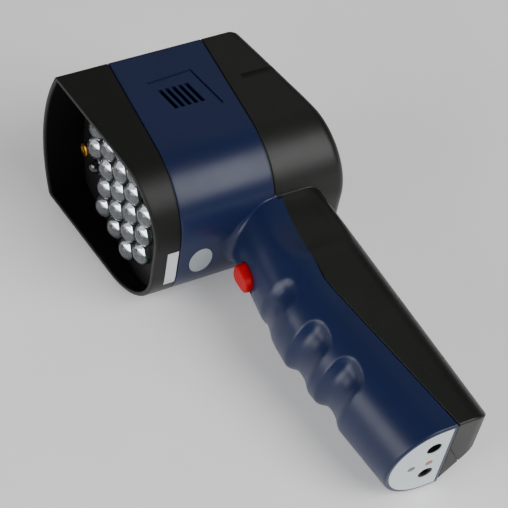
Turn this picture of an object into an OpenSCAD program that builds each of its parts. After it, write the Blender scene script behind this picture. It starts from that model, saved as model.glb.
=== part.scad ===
// Hand-held LED stroboscope: a hooded lamp head on a grip with a push trigger.
// Drawn in the tool's own axes: x forward along the light, y to the tool's left, z up.
// x = 0 is the middle of the blue band, and z = 0 is the level of the head's two top edges.
// Each piece is then laid down with the whole tool, which lies on its right side.

/* [Head] */
// Width of the head
head_w = 73.6; // [64:0.2:84]
// Height of the head, from its top edges to its underside
head_h = 76; // [70:0.5:84]
// Radius of the head's two lower corners
head_round = 28; // [20:0.5:30]
// Rise of the arched top above the top edges
crown = 7.2; // [4:0.2:10]
// Radius along the two top edges
top_edge = 3; // [1:0.5:5]
// Length of the blue band round the head
band_len = 40.6; // [36:0.2:48]
// Wall of the head's shells
wall = 2.2; // [1.6:0.1:3]
// Width and depth of the shadow line between two shells
shadow_line = 0.5; // [0.2:0.1:0.8]

/* [Hood] */
// Length of the hood at the top edges
hood_len = 22.8; // [20:0.2:30]
// Rake of the hood's rim, with the top forward
hood_rake = 9; // [0:0.5:12]
// Wall of the hood at its rim
hood_wall = 2; // [1.6:0.1:3]
// Depth of the lamp plate's face behind the rim at the top edges
plate_depth = 16.7; // [15:0.1:18]
// Thickness of the lamp plate
plate_t = 2; // [1.5:0.1:3]
// Length of the collar that plugs the hood into the band
collar_len = 5; // [3:0.5:8]
// Wall of that collar
collar_wall = 1.8; // [1.2:0.1:2.5]

/* [Lamps] */
// Spacing of the lamps in both directions
lamp_pitch = 12; // [11.8:0.1:12.6]
// Diameter of a lamp
lamp_d = 9.9; // [8:0.1:10.4]
// Lamps along each side of the square, which has no corners
lamp_rows = 5; // [5:1:5]
// Level of the middle of the lamps above the middle of the head's height
lamp_rise = 2.7; // [1:0.1:4]
// Height of a lamp's tip above the plate
lamp_out = 5.2; // [4:0.1:7]
// Height of the round cap of a lamp
lamp_cap = 3.4; // [2.5:0.1:4.5]
// Diameter of the photo sensor
sensor_d = 8; // [6:0.1:9]
// Diameter of the pointer's brass barrel
laser_d = 6; // [5:0.1:6.5]
// Pointer's place to the right of the middle
laser_side = 8.4; // [7.5:0.1:9]
// Pointer's level above the first row of lamps
laser_rise = 7.2; // [6.8:0.1:8]

/* [Back of the head] */
// Length behind the band at the top edges
back_len = 17.4; // [13:0.2:20]
// Lean of the display face
display_lean = 14.8; // [14:0.2:22]
// Level of the bend under the display face
display_drop = 24.6; // [23:0.2:28]
// Lean of the face under the display
apron_lean = 13.5; // [11:0.5:16]
// Height of the key face above the underside
keypad_h = 28; // [25:0.5:31]
// Lean of the key face
keypad_lean = 7.5; // [3:0.5:8]
// Radius round the back of the head
back_edge = 5; // [3:0.5:7]
// Height of the groove in the side of the head's back
slit_h = 2.4; // [1.5:0.1:3]
// Depth of that groove
slit_d = 1.4; // [0.8:0.1:1.8]
// Length of the plain side between the band and that groove
slit_start = 6.8; // [4:0.2:10]

/* [Side vents] */
// Number of slots on each side
vent_count = 5; // [3:1:6]
// Spacing of the slots
vent_pitch = 2.85; // [2.4:0.05:3.2]
// Width of a slot
vent_w = 1.4; // [1:0.1:1.8]
// Height of a slot
vent_h = 11; // [8:0.5:14]
// Lean of the slots
vent_lean = 14; // [0:1:20]
// Level of the middle of the slots below the top edges
vent_drop = 26; // [24:0.5:30]
// Width of the line moulded round two sides of the slots
line_w = 1.1; // [0.6:0.1:1.6]
// Depth of that line
line_d = 0.7; // [0.4:0.1:1]

/* [Grip] */
// Radius of the grip's front
grip_r = 20.5; // [19:0.1:22]
// Level of the grip's end below the top edges
grip_len = 193; // [186:1:205]
// Wall of the grip
grip_wall = 2.4; // [2:0.1:3]
// Wall across the grip's end
end_wall = 2.6; // [2:0.1:3.5]
// Level of the knee in the grip's front
knee_drop = 127; // [122:0.5:130]
// Place of the grip's axis at the knee, behind the middle of the band
knee_back = 19; // [18:0.2:21]
// Lean of the grip's axis above the knee
neck_lean = 4.5; // [2:0.5:6]
// Lean of the grip's axis below the knee
grip_lean = 9.5; // [8:0.1:12]
// Level at which the parting face of the two shells turns back
parting_drop = 118; // [112:1:124]
// Lean of the parting face below that level
parting_lean = 11.8; // [10:0.2:13]
// Place of the grip's back at the knee, behind the middle of the band
spine_back = 46.8; // [43:0.2:48]
// Lean of the grip's back
spine_lean = 4.6; // [3:0.2:6]
// Radius of the grip's two back corners
spine_round = 10.5; // [8:0.5:12]
// Radius of the heel at the end of the grip's back
heel_round = 7; // [4:0.5:9]

// Place of the notch at the heel's right corner, from the middle of the grip's end
notch_side = 17.5; // [14:0.5:19]
// Turn of that notch, seen from the grip's end
notch_turn = 38; // [30:1:50]

/* [Finger grooves] */
// Number of grooves
finger_count = 3; // [2:1:3]
// Level of the first groove below the top edges
finger_drop = 116.5; // [114:0.5:118]
// Spacing of the grooves
finger_pitch = 19.5; // [18:0.5:21]
// Radius of a groove's section
finger_r = 9.5; // [8:0.1:11]
// Depth of a groove
finger_depth = 2.7; // [1:0.1:3.5]
// Angle that a groove runs round the grip
finger_arc = 116; // [100:2:130]
// Level of the hollow beside the trigger
waist_drop = 86; // [84:0.5:90]
// Depth of that hollow
waist_depth = 2.9; // [1:0.1:3.5]
// Radius of that hollow
waist_r = 39; // [30:1:50]

/* [Trigger] */
// Width of the trigger
trigger_w = 10; // [8:0.5:11]
// Height of the trigger
trigger_h = 11.5; // [9:0.5:12]
// Level of the trigger's middle below the top edges
trigger_drop = 93; // [91:0.5:96]
// Height of the trigger above the grip
trigger_out = 3.2; // [2.5:0.1:5]
// Travel of the trigger
trigger_travel = 2; // [1:0.1:2.4]
// Radius of the trigger's corners
trigger_round = 3; // [1:0.5:4]

/* [Grip end] */
// Width of the bare rim round the end plate
label_rim = 1.5; // [1:0.1:2.5]
// Thickness of the end plate
label_t = 0.6; // [0.4:0.1:1]
// Distance between the two sockets
jack_gap = 17.2; // [15:0.2:18]
// Place of the sockets in front of the end plate's straight edge
jack_in = 6.3; // [5.5:0.1:8]
// Diameter of the holes that the plugs go through
jack_hole = 6.3; // [5.8:0.1:7]
// Bore of the signal socket
plug_d = 3.6; // [2.6:0.1:4]
// Diameter of the power socket's contact pin
pin_d = 2; // [1.3:0.1:2.5]
// Diameter of the two indicators
dot_d = 3; // [2:0.1:4]
// Place of the indicators beside the middle
dot_side = 1.5; // [0:0.1:2]
// Distance between the two indicators
dot_gap = 7.6; // [6.5:0.1:8.5]

/* [Display and keys] */
// Width of the display window
display_w = 46; // [38:1:50]
// Height of the display window
display_h = 14; // [11:0.5:15]
// Width of a key
key_w = 10; // [8:0.2:11]
// Height of a key
key_h = 7; // [6:0.2:8]
// Spacing of the keys across
key_pitch_w = 14; // [13:0.5:15]
// Spacing of the keys up and down
key_pitch_h = 11; // [10.5:0.5:12]
// Level of the middle of the keys above the underside
key_rise = 18; // [16:0.1:18]
// Height of a key above the key face
key_out = 1.2; // [0.8:0.1:2]
// Travel of a key
key_travel = 0.8; // [0.4:0.1:1]

/* [Battery] */
// Diameter of a cell
cell_d = 14.2; // [13.5:0.1:14.5]
// Length of a cell
cell_len = 50; // [46:0.5:50.5]
// Level of the cells' lower ends above the board of the sockets
cell_rise = 4.7; // [4:0.1:6]
// Lean of the cells
cell_lean = 7; // [6.5:0.1:8.5]
// Width of the battery door
door_w = 27; // [22:0.5:29]
// Width of the tongue at the door's top
tongue_w = 14; // [8:0.5:18]
// Travel that frees the door
door_travel = 12; // [6:1:20]

/* [Fits] */
// Gap round a piece that slides
slide_gap = 0.3; // [0.2:0.05:0.5]
// Gap round a piece that is fixed in its place
seat_gap = 0.15; // [0.1:0.05:0.3]

/* [Hidden] */
$fn = 96;

black = "#1c1e1c";
blue = "#1e2b47";
red = "#b71d22";
steel = "#b9bcc0";
board_green = "#1f5a3a";

half_w = head_w / 2;
far = 300;
thin = 0.3;
touch = 0.05;

// Head levels and places
band_front = band_len / 2;
band_back = -band_len / 2;
crown_r = (half_w * half_w + crown * crown) / (2 * crown);
arch_z = crown - crown_r;
slice_steps = 8;
corner_y = half_w - head_round;
corner_z = head_round - head_h;
hood_x = band_front + hood_len;
plate_front = hood_x - plate_depth;
plate_back = plate_front - plate_t;
collar_inset = wall + seat_gap;
board_inset = collar_inset + collar_wall + slide_gap;

// Lamps and their board, with the places as [column, row] from the left of the first row
lamp_r = lamp_d / 2;
lamp_flange = 0.8;
lamp_flange_r = lamp_r + 0.6;
lamp_cap_r = (lamp_r * lamp_r + lamp_cap * lamp_cap) / (2 * lamp_cap);
lamp_mid = (lamp_rows - 1) / 2;
lamp_drop = head_h / 2 - lamp_rise - lamp_mid * lamp_pitch;
laser_drop = lamp_drop - laser_rise;
lamp_places = [for (i = [0 : lamp_rows - 1], j = [0 : lamp_rows - 1])
    if (abs(i - lamp_mid) + abs(j - lamp_mid) < 2 * lamp_mid) [i, j]];
sensor_place = [lamp_mid + 1, 0];
corner_places = [for (i = [0, lamp_rows - 1], j = [0, lamp_rows - 1]) [i, j]];
led_board_t = 1.6;
led_board_front = plate_back - seat_gap - lamp_flange;
led_board_back = led_board_front - led_board_t;
sensor_out = 1.6;
laser_len = 18;
laser_out = 1.2;
laser_eye = 1.2;
board_post_r = 2.4;
board_screw_r = 0.9;
board_screw_head = [1.8, 1.2];
board_screw_in = 1.2;

// Back faces of the head, each as its place at z = 0 and its slope
keypad_drop = head_h - keypad_h;
display_slope = tan(display_lean);
apron_slope = tan(apron_lean);
keypad_slope = tan(keypad_lean);
display_x = band_back - back_len;
apron_x = display_x - display_drop * (display_slope - apron_slope);
keypad_x = apron_x - keypad_drop * (apron_slope - keypad_slope);

// Grip
knee_x = -knee_back;
knee_z = -knee_drop;
end_z = -grip_len;
spine_x = -spine_back;
parting_end = parting_at(end_z);
grip_top = corner_z;
end_axis_x = axis_x(end_z);
label_edge = parting_end + label_rim;
label_r = grip_r - label_rim;
inner_r = grip_r - grip_wall;

// Ring of a finger groove: it runs out at the ends of its arc, as its middle lies behind the axis
finger_near = grip_r + finger_r - finger_depth;
finger_out = grip_r + finger_r;
finger_shift = (finger_out * finger_out - finger_near * finger_near)
    / (2 * (finger_near - finger_out * cos(finger_arc / 2)));

// Trigger and its switch
trigger_z = -trigger_drop;
trigger_face = axis_x(trigger_z) + grip_r;
trigger_lip = 1.5;
trigger_flange = 1.4;
trigger_reach = sqrt(pow(inner_r, 2) - pow(trigger_w / 2 + trigger_lip, 2))
    - (trigger_h / 2 + trigger_lip) * tan(neck_lean);
trigger_back = axis_x(trigger_z) + trigger_reach - slide_gap;
trigger_stem_r = 2;
trigger_stem = 1.6;
switch_gap = 0.2;
switch_size = 6;
switch_body = 3.5;
plunger_len = 3;
plunger_r = 1.7;
plunger_x = trigger_back - trigger_flange - trigger_stem - trigger_travel - switch_gap;
switch_board_x = plunger_x - plunger_len - switch_body;
switch_board_t = 1.2;
switch_board_h = 14;
switch_board_w = 2 * (inner_r - waist_depth - slide_gap);

// Grip end
jack_x = label_edge + jack_in;
jack_top = end_z + end_wall;
jack_len = 10;
jack_r = 4.6;
power_bore = 5.6;
socket_floor = 1.5;
nose_sink = 0.3;
nose_len = end_wall + touch - nose_sink;
jack_board_z = jack_top + jack_len;
jack_board_t = 1.2;
jack_board_w = 2 * (inner_r - slide_gap);
jack_board_back = 11;
jack_board_wide = 3;
jack_board_front = 9.5;
jack_board_nose = 11.8;

// Display and keys, with the key places as [up the face, to the left]
window_lip = 1;
window_t = 1;
display_z = 0.6 - display_drop / 2;
display_rim = 3;
display_t = 4;
key_drop = head_h - key_rise;
key_places = [for (j = [1, -1], i = [1, 0, -1]) [j * key_pitch_h / 2, i * key_pitch_w]];
key_flange = 1;
key_lip = 0.8;
key_back = -wall - slide_gap - key_flange;
key_stem = 3;
key_stem_r = 1.6;
dome_gap = 0.2;
dome_h = 1.4;
dome_r = 2.5;
main_board_z = key_back - key_stem - key_travel - dome_gap - dome_h;
main_board_t = 1.6;
main_board_top = 16;
main_board_low = -9.5;
main_board_step = [3.5, 1.5];
main_board_half = 26;
main_board_waist = 20.5;
main_board_foot = 18;
pad_posts = [[13, 16], [13, -16], [7, 23.5], [7, -23.5]];
pad_post_r = 2;

// Battery
cell_gap = 0.2;
cell_off = (cell_d + cell_gap) / 2;
cell_z = jack_board_z + jack_board_t + cell_rise + cell_len / 2;
cell_x = (axis_x(cell_z) + inner_r - finger_depth + spine_at(cell_z) + grip_wall) / 2 - 0.6;
pack_half = cell_d + 1.5 * cell_gap;
tray_t = 1;
tray_back_w = 16;
tray_fin = 1.2;
contact_t = 0.4;
contact_w = 23;
nub = [2.7, 1];
door_top = cell_z + cell_len / 2 - 2;
door_depth = 4.6;
tongue_t = 1.2;
tongue_len = 3;

// Screws: [side, level] of each boss in the head, and the level of the one in the grip
boss_r = 4.2;
boss_len = 16;
screw_r = 1.3;
screw_hole = 1.7;
screw_head_r = 2.8;
screw_head_h = 2;
screw_well = 3.2;
screw_floor = 3;
screw_in = 12;
boss_sink = 1.2;
boss_drop = 2;
boss_side = 17;
boss_low = 14.5;
head_bosses = [for (side = [-1, 1], place = [
    [half_w - wall - boss_r + boss_sink, -boss_r - boss_drop],
    [corner_y + boss_side, corner_z - boss_low]
]) [side * place[0], place[1]]];
grip_boss = [0, -108.5];
all_bosses = concat(head_bosses, [grip_boss]);

// How the tool lies: its head's lower corner and its grip's end touch the table
lean = asin(head_round / norm([grip_r - corner_y, grip_len + corner_z]))
    - atan2(grip_r - corner_y, grip_len + corner_z);
rest_h = head_round + corner_y * cos(lean) - corner_z * sin(lean);
tip_x = hood_x + crown * tan(hood_rake);
tail_x = keypad_x + back_edge - back_edge * sqrt(1 + keypad_slope * keypad_slope)
    + keypad_slope * (back_edge - head_h);
top_reach = crown_r + (crown - crown_r) * cos(lean);
end_reach = grip_len * cos(lean) + grip_r * sin(lean);

// x of the grip's axis, and its lean, at a level
function axis_x(z) = z > knee_z
    ? knee_x - (z - knee_z) * tan(neck_lean)
    : knee_x + (z - knee_z) * tan(grip_lean);
function axis_lean(z) = z > knee_z ? -neck_lean : grip_lean;
// x of the grip's back at a level
function spine_at(z) = spine_x + (z - knee_z) * tan(spine_lean);
// x of the parting face at a level
function parting_at(z) = band_back + min(0, z + parting_drop) * tan(parting_lean);

// Points at which the eased top edge leaves the arch and meets the side
function head_ease(inset) =
    let (
        w = half_w - inset,
        arch = crown_r - inset,
        edge = max(top_edge - inset, 0.8)
    )
    [
        [w - edge, arch_z + sqrt(arch * arch - pow(w - edge, 2))],
        [w, arch_z + sqrt(arch * arch - w * w) - edge]
    ];

// Lays the tool on its right side, with the middle of its box at the origin
module lay_down() {
    translate([(tip_x + tail_x) / 2, (end_reach - top_reach) / 2, rest_h])
        rotate([lean, 0, 0])
            rotate([90, 0, 180])
                children();
}

// Carries a section in y and z along x
module along_x(x0, x1) {
    translate([x0, 0, 0])
        rotate([90, 0, 90])
            linear_extrude(x1 - x0)
                children();
}

// Carries a side view in x and z across the tool
module across(width) {
    rotate([90, 0, 0])
        linear_extrude(width, center = true)
            children();
}

// Turns a piece that stands up so that it points forward
module forward(x, y, z) {
    translate([x, y, z])
        rotate([0, 90, 0])
            children();
}

module round_rect(w, h, r) {
    square([w - 2 * r, h], center = true);
    square([w, h - 2 * r], center = true);
    for (i = [-1, 1], j = [-1, 1])
        translate([i * (w / 2 - r), j * (h / 2 - r)])
            circle(r);
}

module drawn_rect(w, h, r) {
    hull()
        for (i = [-1, 1], j = [-1, 1])
            translate([i * (w / 2 - r), j * (h / 2 - r)])
                circle(r, $fn = 24);
}

// Section of the head: arched top, straight sides, round lower corners and eased top edges
module head_section(inset = 0) {
    w = half_w - inset;
    arch = crown_r - inset;
    ease = head_ease(inset);
    above = ease[0];
    below = ease[1];
    ease_z = (above * above - below * below) / (2 * (above[1] - below[1]));
    intersection() {
        translate([0, arch_z])
            circle(arch);
        translate([0, ease_z])
            circle(norm([above[0], above[1] - ease_z]));
        translate([-w, ease_z])
            square([2 * w, head_h]);
    }
    translate([-w, corner_z])
        square([2 * w, ease_z - corner_z]);
    for (side = [-1, 1])
        translate([side * corner_y, corner_z])
            circle(head_round - inset);
    translate([-corner_y, inset - head_h])
        square([2 * corner_y, head_round]);
}

// The same section as points, for a piece that is drawn over a stack of slices
function head_outline(inset) =
    let (
        w = half_w - inset,
        r = head_round - inset,
        arch = crown_r - inset,
        ease = head_ease(inset),
        half_arc = asin(ease[0][0] / arch)
    )
    concat(
        [[w, ease[1][1]]],
        [for (i = [0 : slice_steps]) let (a = half_arc * (1 - 2 * i / slice_steps))
            [arch * sin(a), arch_z + arch * cos(a)]],
        [[-w, ease[1][1]]],
        [for (i = [0 : slice_steps]) let (a = 180 + 90 * i / slice_steps)
            [r * cos(a) - corner_y, corner_z + r * sin(a)]],
        [for (i = [0 : slice_steps]) let (a = 270 + 90 * i / slice_steps)
            [r * cos(a) + corner_y, corner_z + r * sin(a)]]
    );

// Moves to a face of the back: x up the face, y to the left, z out of it
module on_face(x0, lean_angle, level) {
    translate([x0 + level * tan(lean_angle), 0, level])
        rotate([0, lean_angle - 90, 0])
            children();
}

module on_display() {
    on_face(display_x, display_lean, display_z)
        children();
}

module on_keypad() {
    on_face(keypad_x, keypad_lean, -key_drop)
        children();
}

// Moves to the grip's axis at a level, square to it
module on_axis(z) {
    translate([axis_x(z), 0, z])
        rotate([0, axis_lean(z), 0])
            children();
}

// Moves to the grip's back at the knee: x into the grip, z up the back
module on_spine() {
    translate([spine_x, 0, knee_z])
        rotate([0, spine_lean, 0])
            children();
}

module on_cells() {
    translate([cell_x, 0, cell_z])
        rotate([0, cell_lean, 0])
            children();
}

// Side view of what is in front of the parting face, or behind it, down to a level
module parting_region(bottom, edge, reach) {
    polygon([
        [band_back + edge, grip_top],
        [band_back + edge, -parting_drop],
        [parting_at(bottom) + edge, bottom],
        [reach, bottom],
        [reach, grip_top]
    ]);
}

// Round front of the grip, without its grooves: two lengths that meet at the knee
module grip_front(inset, bottom, past = 0) {
    r = grip_r - inset;
    reach = grip_len;
    intersection() {
        across(2 * grip_r + 2)
            parting_region(bottom, -past, far);
        translate([knee_x, 0, knee_z])
            for (length = [[-neck_lean, 0], [grip_lean, -far]])
                intersection() {
                    rotate([0, length[0], 0])
                        linear_extrude(2 * reach, center = true) {
                            circle(r);
                            translate([-2 * grip_r, -r])
                                square([2 * grip_r, 2 * r]);
                        }
                    rotate([0, (grip_lean - neck_lean) / 2, 0])
                        translate([-far / 2, -far / 2, length[1]])
                            cube(far);
                }
    }
}

// Finger grooves that run out on both sides, thickened by a skin for the hollow behind them
module finger_grooves(skin = 0) {
    for (i = [0 : finger_count - 1])
        on_axis(-finger_drop - i * finger_pitch)
            translate([-finger_shift, 0, 0])
                rotate_extrude()
                    translate([finger_near + finger_shift, 0])
                        circle(finger_r + skin);
}

// Shallow hollows on both sides of the grip beside the trigger
module waist_hollows(skin = 0) {
    for (side = [-1, 1])
        forward(spine_x - grip_r, side * (grip_r - waist_depth + waist_r), -waist_drop)
            cylinder(r = waist_r + skin, h = 4 * grip_r);
}

// Slanted notch at the heel's right corner
module heel_notch(skin = 0) {
    translate([parting_end, -notch_side, end_z])
        rotate([0, 45, 180 + notch_turn])
            translate([-skin, -far / 2, -far / 2])
                cube(far);
}

// Back of the grip: flat sides, round back corners and a round heel
module grip_back(inset, bottom, past = 0) {
    r = spine_round - inset;
    half = grip_r - inset;
    heel_z = end_z + heel_round;
    heel_x = spine_at(heel_z) + heel_round / cos(spine_lean);
    difference() {
        intersection() {
            across(2 * grip_r + 2)
                parting_region(bottom, past - 2 * touch, -far);
            on_spine()
                translate([inset, 0, end_z - knee_z - heel_round])
                    linear_extrude(grip_len + grip_top + 2 * heel_round) {
                        translate([r, -half])
                            square([spine_back, 2 * half]);
                        translate([0, r - half])
                            square([spine_back, 2 * (half - r)]);
                        for (side = [-1, 1])
                            translate([r, side * (half - r)])
                                circle(r);
                    }
            across(2 * grip_r + 2) {
                translate([heel_x, heel_z])
                    circle(heel_round - inset);
                translate([heel_x, end_z - 1])
                    square([far, grip_len]);
                translate([heel_x - far, heel_z])
                    square([2 * far, grip_len]);
            }
        }
        waist_hollows(inset);
        heel_notch(inset);
    }
}

// Side view of the battery door's opening
module door_region(gap) {
    translate([spine_x, knee_z])
        rotate(-spine_lean)
            translate([-far, end_z - knee_z - far])
                square([far + door_depth - gap, door_top - end_z + far - gap]);
}

// Back of the head: one skin drawn over slices of its three faces, with a round edge
module head_back(inset, past = 0) {
    steps = 3;
    r = back_edge - inset / 2;
    front = band_back - touch + past;
    hull() {
        along_x(front - thin, front)
            polygon(head_outline(inset));
        for (face = [
            [display_x, display_slope, -display_drop, crown],
            [apron_x, apron_slope, -keypad_drop, -display_drop],
            [keypad_x, keypad_slope, -head_h, -keypad_drop]
        ])
            multmatrix([[1, 0, face[1], 0], [0, 1, 0, 0], [0, 0, 1, 0], [0, 0, 0, 1]])
                for (i = [0 : steps]) {
                    turn = 90 * i / steps;
                    x = face[0] + inset + r * (1 - sin(turn));
                    along_x(x, x + thin)
                        intersection() {
                            polygon(head_outline(inset + r * (1 - cos(turn))));
                            translate([-half_w, face[2]])
                                square([head_w, face[3] - face[2]]);
                        }
                }
    }
}

module at_lamp(x, place) {
    forward(x, (lamp_mid - place[0]) * lamp_pitch, -lamp_drop - place[1] * lamp_pitch)
        children();
}

module at_jack(side, z) {
    translate([jack_x, side * jack_gap / 2, z])
        children();
}

module at_dot(i, z) {
    translate([jack_x + i * dot_gap, -dot_side, z])
        children();
}

// Black hood, open in front, with a ledge for the lamp plate and a collar into the band
module front_hood() {
    color(black)
        lay_down()
            difference() {
                union() {
                    along_x(band_front + shadow_line, far / 4)
                        head_section();
                    along_x(band_front + touch, band_front + shadow_line)
                        head_section(shadow_line);
                    along_x(band_front - collar_len, band_front + shadow_line)
                        head_section(collar_inset);
                }
                across(2 * head_w)
                    polygon([
                        [hood_x - 2 * head_h * tan(hood_rake), -2 * head_h],
                        [far, -2 * head_h],
                        [far, head_h],
                        [hood_x + head_h * tan(hood_rake), head_h]
                    ]);
                along_x(plate_back - touch, far / 2)
                    head_section(hood_wall);
                along_x(band_front - collar_len - 1, plate_back + 1)
                    head_section(collar_inset + collar_wall);
            }
}

// Slanted slots through both sides of the band
module vent_slots() {
    shift = vent_h / 2 * tan(vent_lean);
    for (i = [0 : vent_count - 1])
        translate([(i - (vent_count - 1) / 2) * vent_pitch, 0, -vent_drop])
            across(2 * head_w)
                polygon([
                    [shift - vent_w / 2, vent_h / 2],
                    [shift + vent_w / 2, vent_h / 2],
                    [-shift + vent_w / 2, -vent_h / 2],
                    [-shift - vent_w / 2, -vent_h / 2]
                ]);
}

// Line moulded above the slots and behind them
module vent_line(side) {
    reach = (vent_count - 1) / 2 * vent_pitch;
    rise = vent_h / 2;
    start = [reach + 4.8, rise + 4.6];
    bend = [-reach - 3.2, rise + 5.8];
    finish = [-reach - 8.2, -rise - 3.4];
    first = half_line(start, bend);
    second = half_line(bend, finish);
    mitre = (first + second) * pow(line_w / 2, 2) / (pow(line_w / 2, 2) + first * second);
    translate([0, side * half_w, -vent_drop])
        across(2 * line_d)
            polygon([
                start + first,
                bend + mitre,
                finish + second,
                finish - second,
                bend - mitre,
                start - first
            ]);
}

// Half the line's width, square to a leg of it
function half_line(from, to) = [from[1] - to[1], to[0] - from[0]] * line_w / (2 * norm(to - from));

// Boss with a blind hole for a screw that comes from the back
module screw_boss(place) {
    forward(band_back, place[0], place[1])
        difference() {
            cylinder(r = boss_r, h = boss_len);
            translate([0, 0, -1])
                cylinder(r = screw_r + seat_gap, h = boss_len - 1);
        }
}

module label_outline(gap) {
    r = label_r + gap;
    intersection() {
        translate([label_edge - gap, -grip_r])
            square(2 * grip_r);
        union() {
            translate([end_axis_x, 0])
                circle(r);
            translate([end_axis_x - grip_r, -r])
                square([grip_r, 2 * r]);
        }
    }
}

// Blue band and the front of the grip in one moulding
module front_shell() {
    color(blue)
        lay_down() {
            difference() {
                union() {
                    along_x(band_back, band_front)
                        head_section();
                    difference() {
                        grip_front(0, end_z);
                        finger_grooves();
                        waist_hollows();
                    }
                }
                along_x(band_back - 1, band_front + 1)
                    head_section(wall);
                difference() {
                    grip_front(grip_wall, end_z + end_wall, 1);
                    finger_grooves(grip_wall);
                    waist_hollows(grip_wall);
                }
                vent_slots();
                for (side = [-1, 1])
                    vent_line(side);
                forward(knee_x, 0, trigger_z)
                    linear_extrude(far)
                        round_rect(trigger_h + 2 * slide_gap, trigger_w + 2 * slide_gap, trigger_round);
                translate([0, 0, end_z - 1])
                    linear_extrude(1 + label_t)
                        label_outline(seat_gap);
                for (side = [-1, 1])
                    at_jack(side, end_z - 1)
                        cylinder(d = jack_hole, h = end_wall + 2);
                for (i = [0, 1])
                    at_dot(i, end_z - 1)
                        cylinder(d = dot_d + 2 * seat_gap, h = end_wall + 2);
            }
            intersection() {
                along_x(band_back, band_front)
                    head_section(wall / 2);
                union()
                    for (place = head_bosses)
                        screw_boss(place);
            }
            intersection() {
                grip_front(grip_wall / 2, end_z);
                screw_boss(grip_boss);
            }
        }
}

// Black back of the head and of the grip in one moulding
module rear_shell() {
    small_fn = 24;
    corner_fn = 36;
    color(black)
        lay_down()
            difference() {
                union() {
                    difference() {
                        union() {
                            head_back(0);
                            grip_back(0, end_z);
                        }
                        head_back(wall, 1);
                        grip_back(grip_wall, end_z + end_wall, 1);
                    }
                    intersection() {
                        head_back(wall / 2, -touch);
                        union() {
                            for (place = head_bosses)
                                forward(band_back - far, place[0], place[1])
                                    cylinder(r = boss_r, h = far, $fn = corner_fn);
                            for (post = pad_posts)
                                on_keypad()
                                    translate([post[0], post[1], main_board_z + touch])
                                        cylinder(r = pad_post_r, h = far, $fn = small_fn);
                        }
                    }
                    intersection() {
                        grip_back(grip_wall / 2, end_z, -touch);
                        forward(band_back - far, grip_boss[0], grip_boss[1])
                            cylinder(r = boss_r, h = far, $fn = corner_fn);
                    }
                }
                for (place = all_bosses) {
                    forward(band_back - far, place[0], place[1])
                        cylinder(r = screw_hole, h = 2 * far, $fn = small_fn);
                    forward(band_back - far - screw_floor, place[0], place[1])
                        cylinder(r = screw_well, h = far, $fn = corner_fn);
                }
                across(door_w)
                    door_region(0);
                difference() {
                    along_x(band_back - shadow_line, band_back)
                        square(far, center = true);
                    along_x(band_back - 2 * shadow_line, band_back + 1)
                        head_section(shadow_line);
                    translate([band_back - 1, -grip_r, -far])
                        cube([2, 2 * grip_r, far - head_h + 2 * wall]);
                }
                for (side = [-1, 1])
                    translate([band_back - slit_start - far, side * half_w - slit_d, -display_drop - slit_h / 2])
                        cube([far, 2 * slit_d, slit_h]);
                on_display() {
                    translate([0, 0, -window_t])
                        linear_extrude(far)
                            drawn_rect(display_h + 2 * (window_lip + seat_gap),
                                display_w + 2 * (window_lip + seat_gap), 2);
                    translate([0, 0, -2 * wall])
                        linear_extrude(far)
                            drawn_rect(display_h, display_w, 1);
                }
                for (place = key_places)
                    on_keypad()
                        translate([place[0], place[1], -2 * wall])
                            linear_extrude(far)
                                drawn_rect(key_h + 2 * slide_gap, key_w + 2 * slide_gap, 2);
            }
}

// Black plate behind the hood with a hole for each lamp
module led_plate() {
    color(black)
        lay_down()
            difference() {
                union() {
                    along_x(plate_back, plate_front)
                        head_section(hood_wall + seat_gap);
                    for (place = corner_places)
                        at_lamp(led_board_front + touch, place)
                            cylinder(r = board_post_r, h = plate_t);
                }
                for (place = lamp_places)
                    at_lamp(plate_back - plate_t, place)
                        cylinder(d = (place == sensor_place ? sensor_d : lamp_d) + 2 * seat_gap, h = 3 * plate_t);
                for (place = corner_places)
                    at_lamp(led_board_back, place)
                        cylinder(r = board_screw_r + seat_gap, h = plate_back - led_board_back + board_screw_in + touch);
                forward(plate_back - 1, -laser_side, -laser_drop)
                    cylinder(d = laser_d + 2 * seat_gap, h = 3 * plate_t);
            }
}

// Clear lamps with a flange, a straight barrel and a round cap
module led_lenses() {
    foot = led_board_front + touch;
    shoulder = plate_front + lamp_out - lamp_cap;
    color("#e4eaee")
        lay_down()
            for (place = lamp_places)
                if (place != sensor_place) {
                    at_lamp(foot, place) {
                        cylinder(r = lamp_flange_r, h = lamp_flange - touch);
                        cylinder(r = lamp_r, h = shoulder - foot);
                    }
                    at_lamp(shoulder, place)
                        intersection() {
                            translate([0, 0, lamp_cap - lamp_cap_r])
                                sphere(lamp_cap_r);
                            cylinder(r = lamp_r, h = 2 * lamp_cap);
                        }
                }
}

module led_board() {
    color(board_green)
        lay_down()
            difference() {
                along_x(led_board_back, led_board_front)
                    head_section(board_inset);
                for (place = corner_places)
                    at_lamp(led_board_back - 1, place)
                        cylinder(r = board_screw_r + seat_gap, h = led_board_t + 2);
                forward(led_board_back - 1, -laser_side, -laser_drop)
                    cylinder(d = laser_d + 2 * seat_gap, h = led_board_t + 2);
            }
}

module led_board_screws() {
    color(steel)
        lay_down()
            for (place = corner_places) {
                at_lamp(led_board_back - touch - board_screw_head[1], place)
                    cylinder(r = board_screw_head[0], h = board_screw_head[1]);
                at_lamp(led_board_back - board_screw_head[1], place)
                    cylinder(r = board_screw_r, h = plate_back - led_board_back + board_screw_head[1] + board_screw_in);
            }
}

// Brass pointer barrel with a small eye
module laser_module() {
    color("#b08b3e")
        lay_down()
            forward(plate_front + laser_out - laser_len, -laser_side, -laser_drop)
                difference() {
                    cylinder(d = laser_d, h = laser_len);
                    translate([0, 0, laser_len - 2])
                        cylinder(r = laser_eye, h = 3);
                }
}

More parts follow.
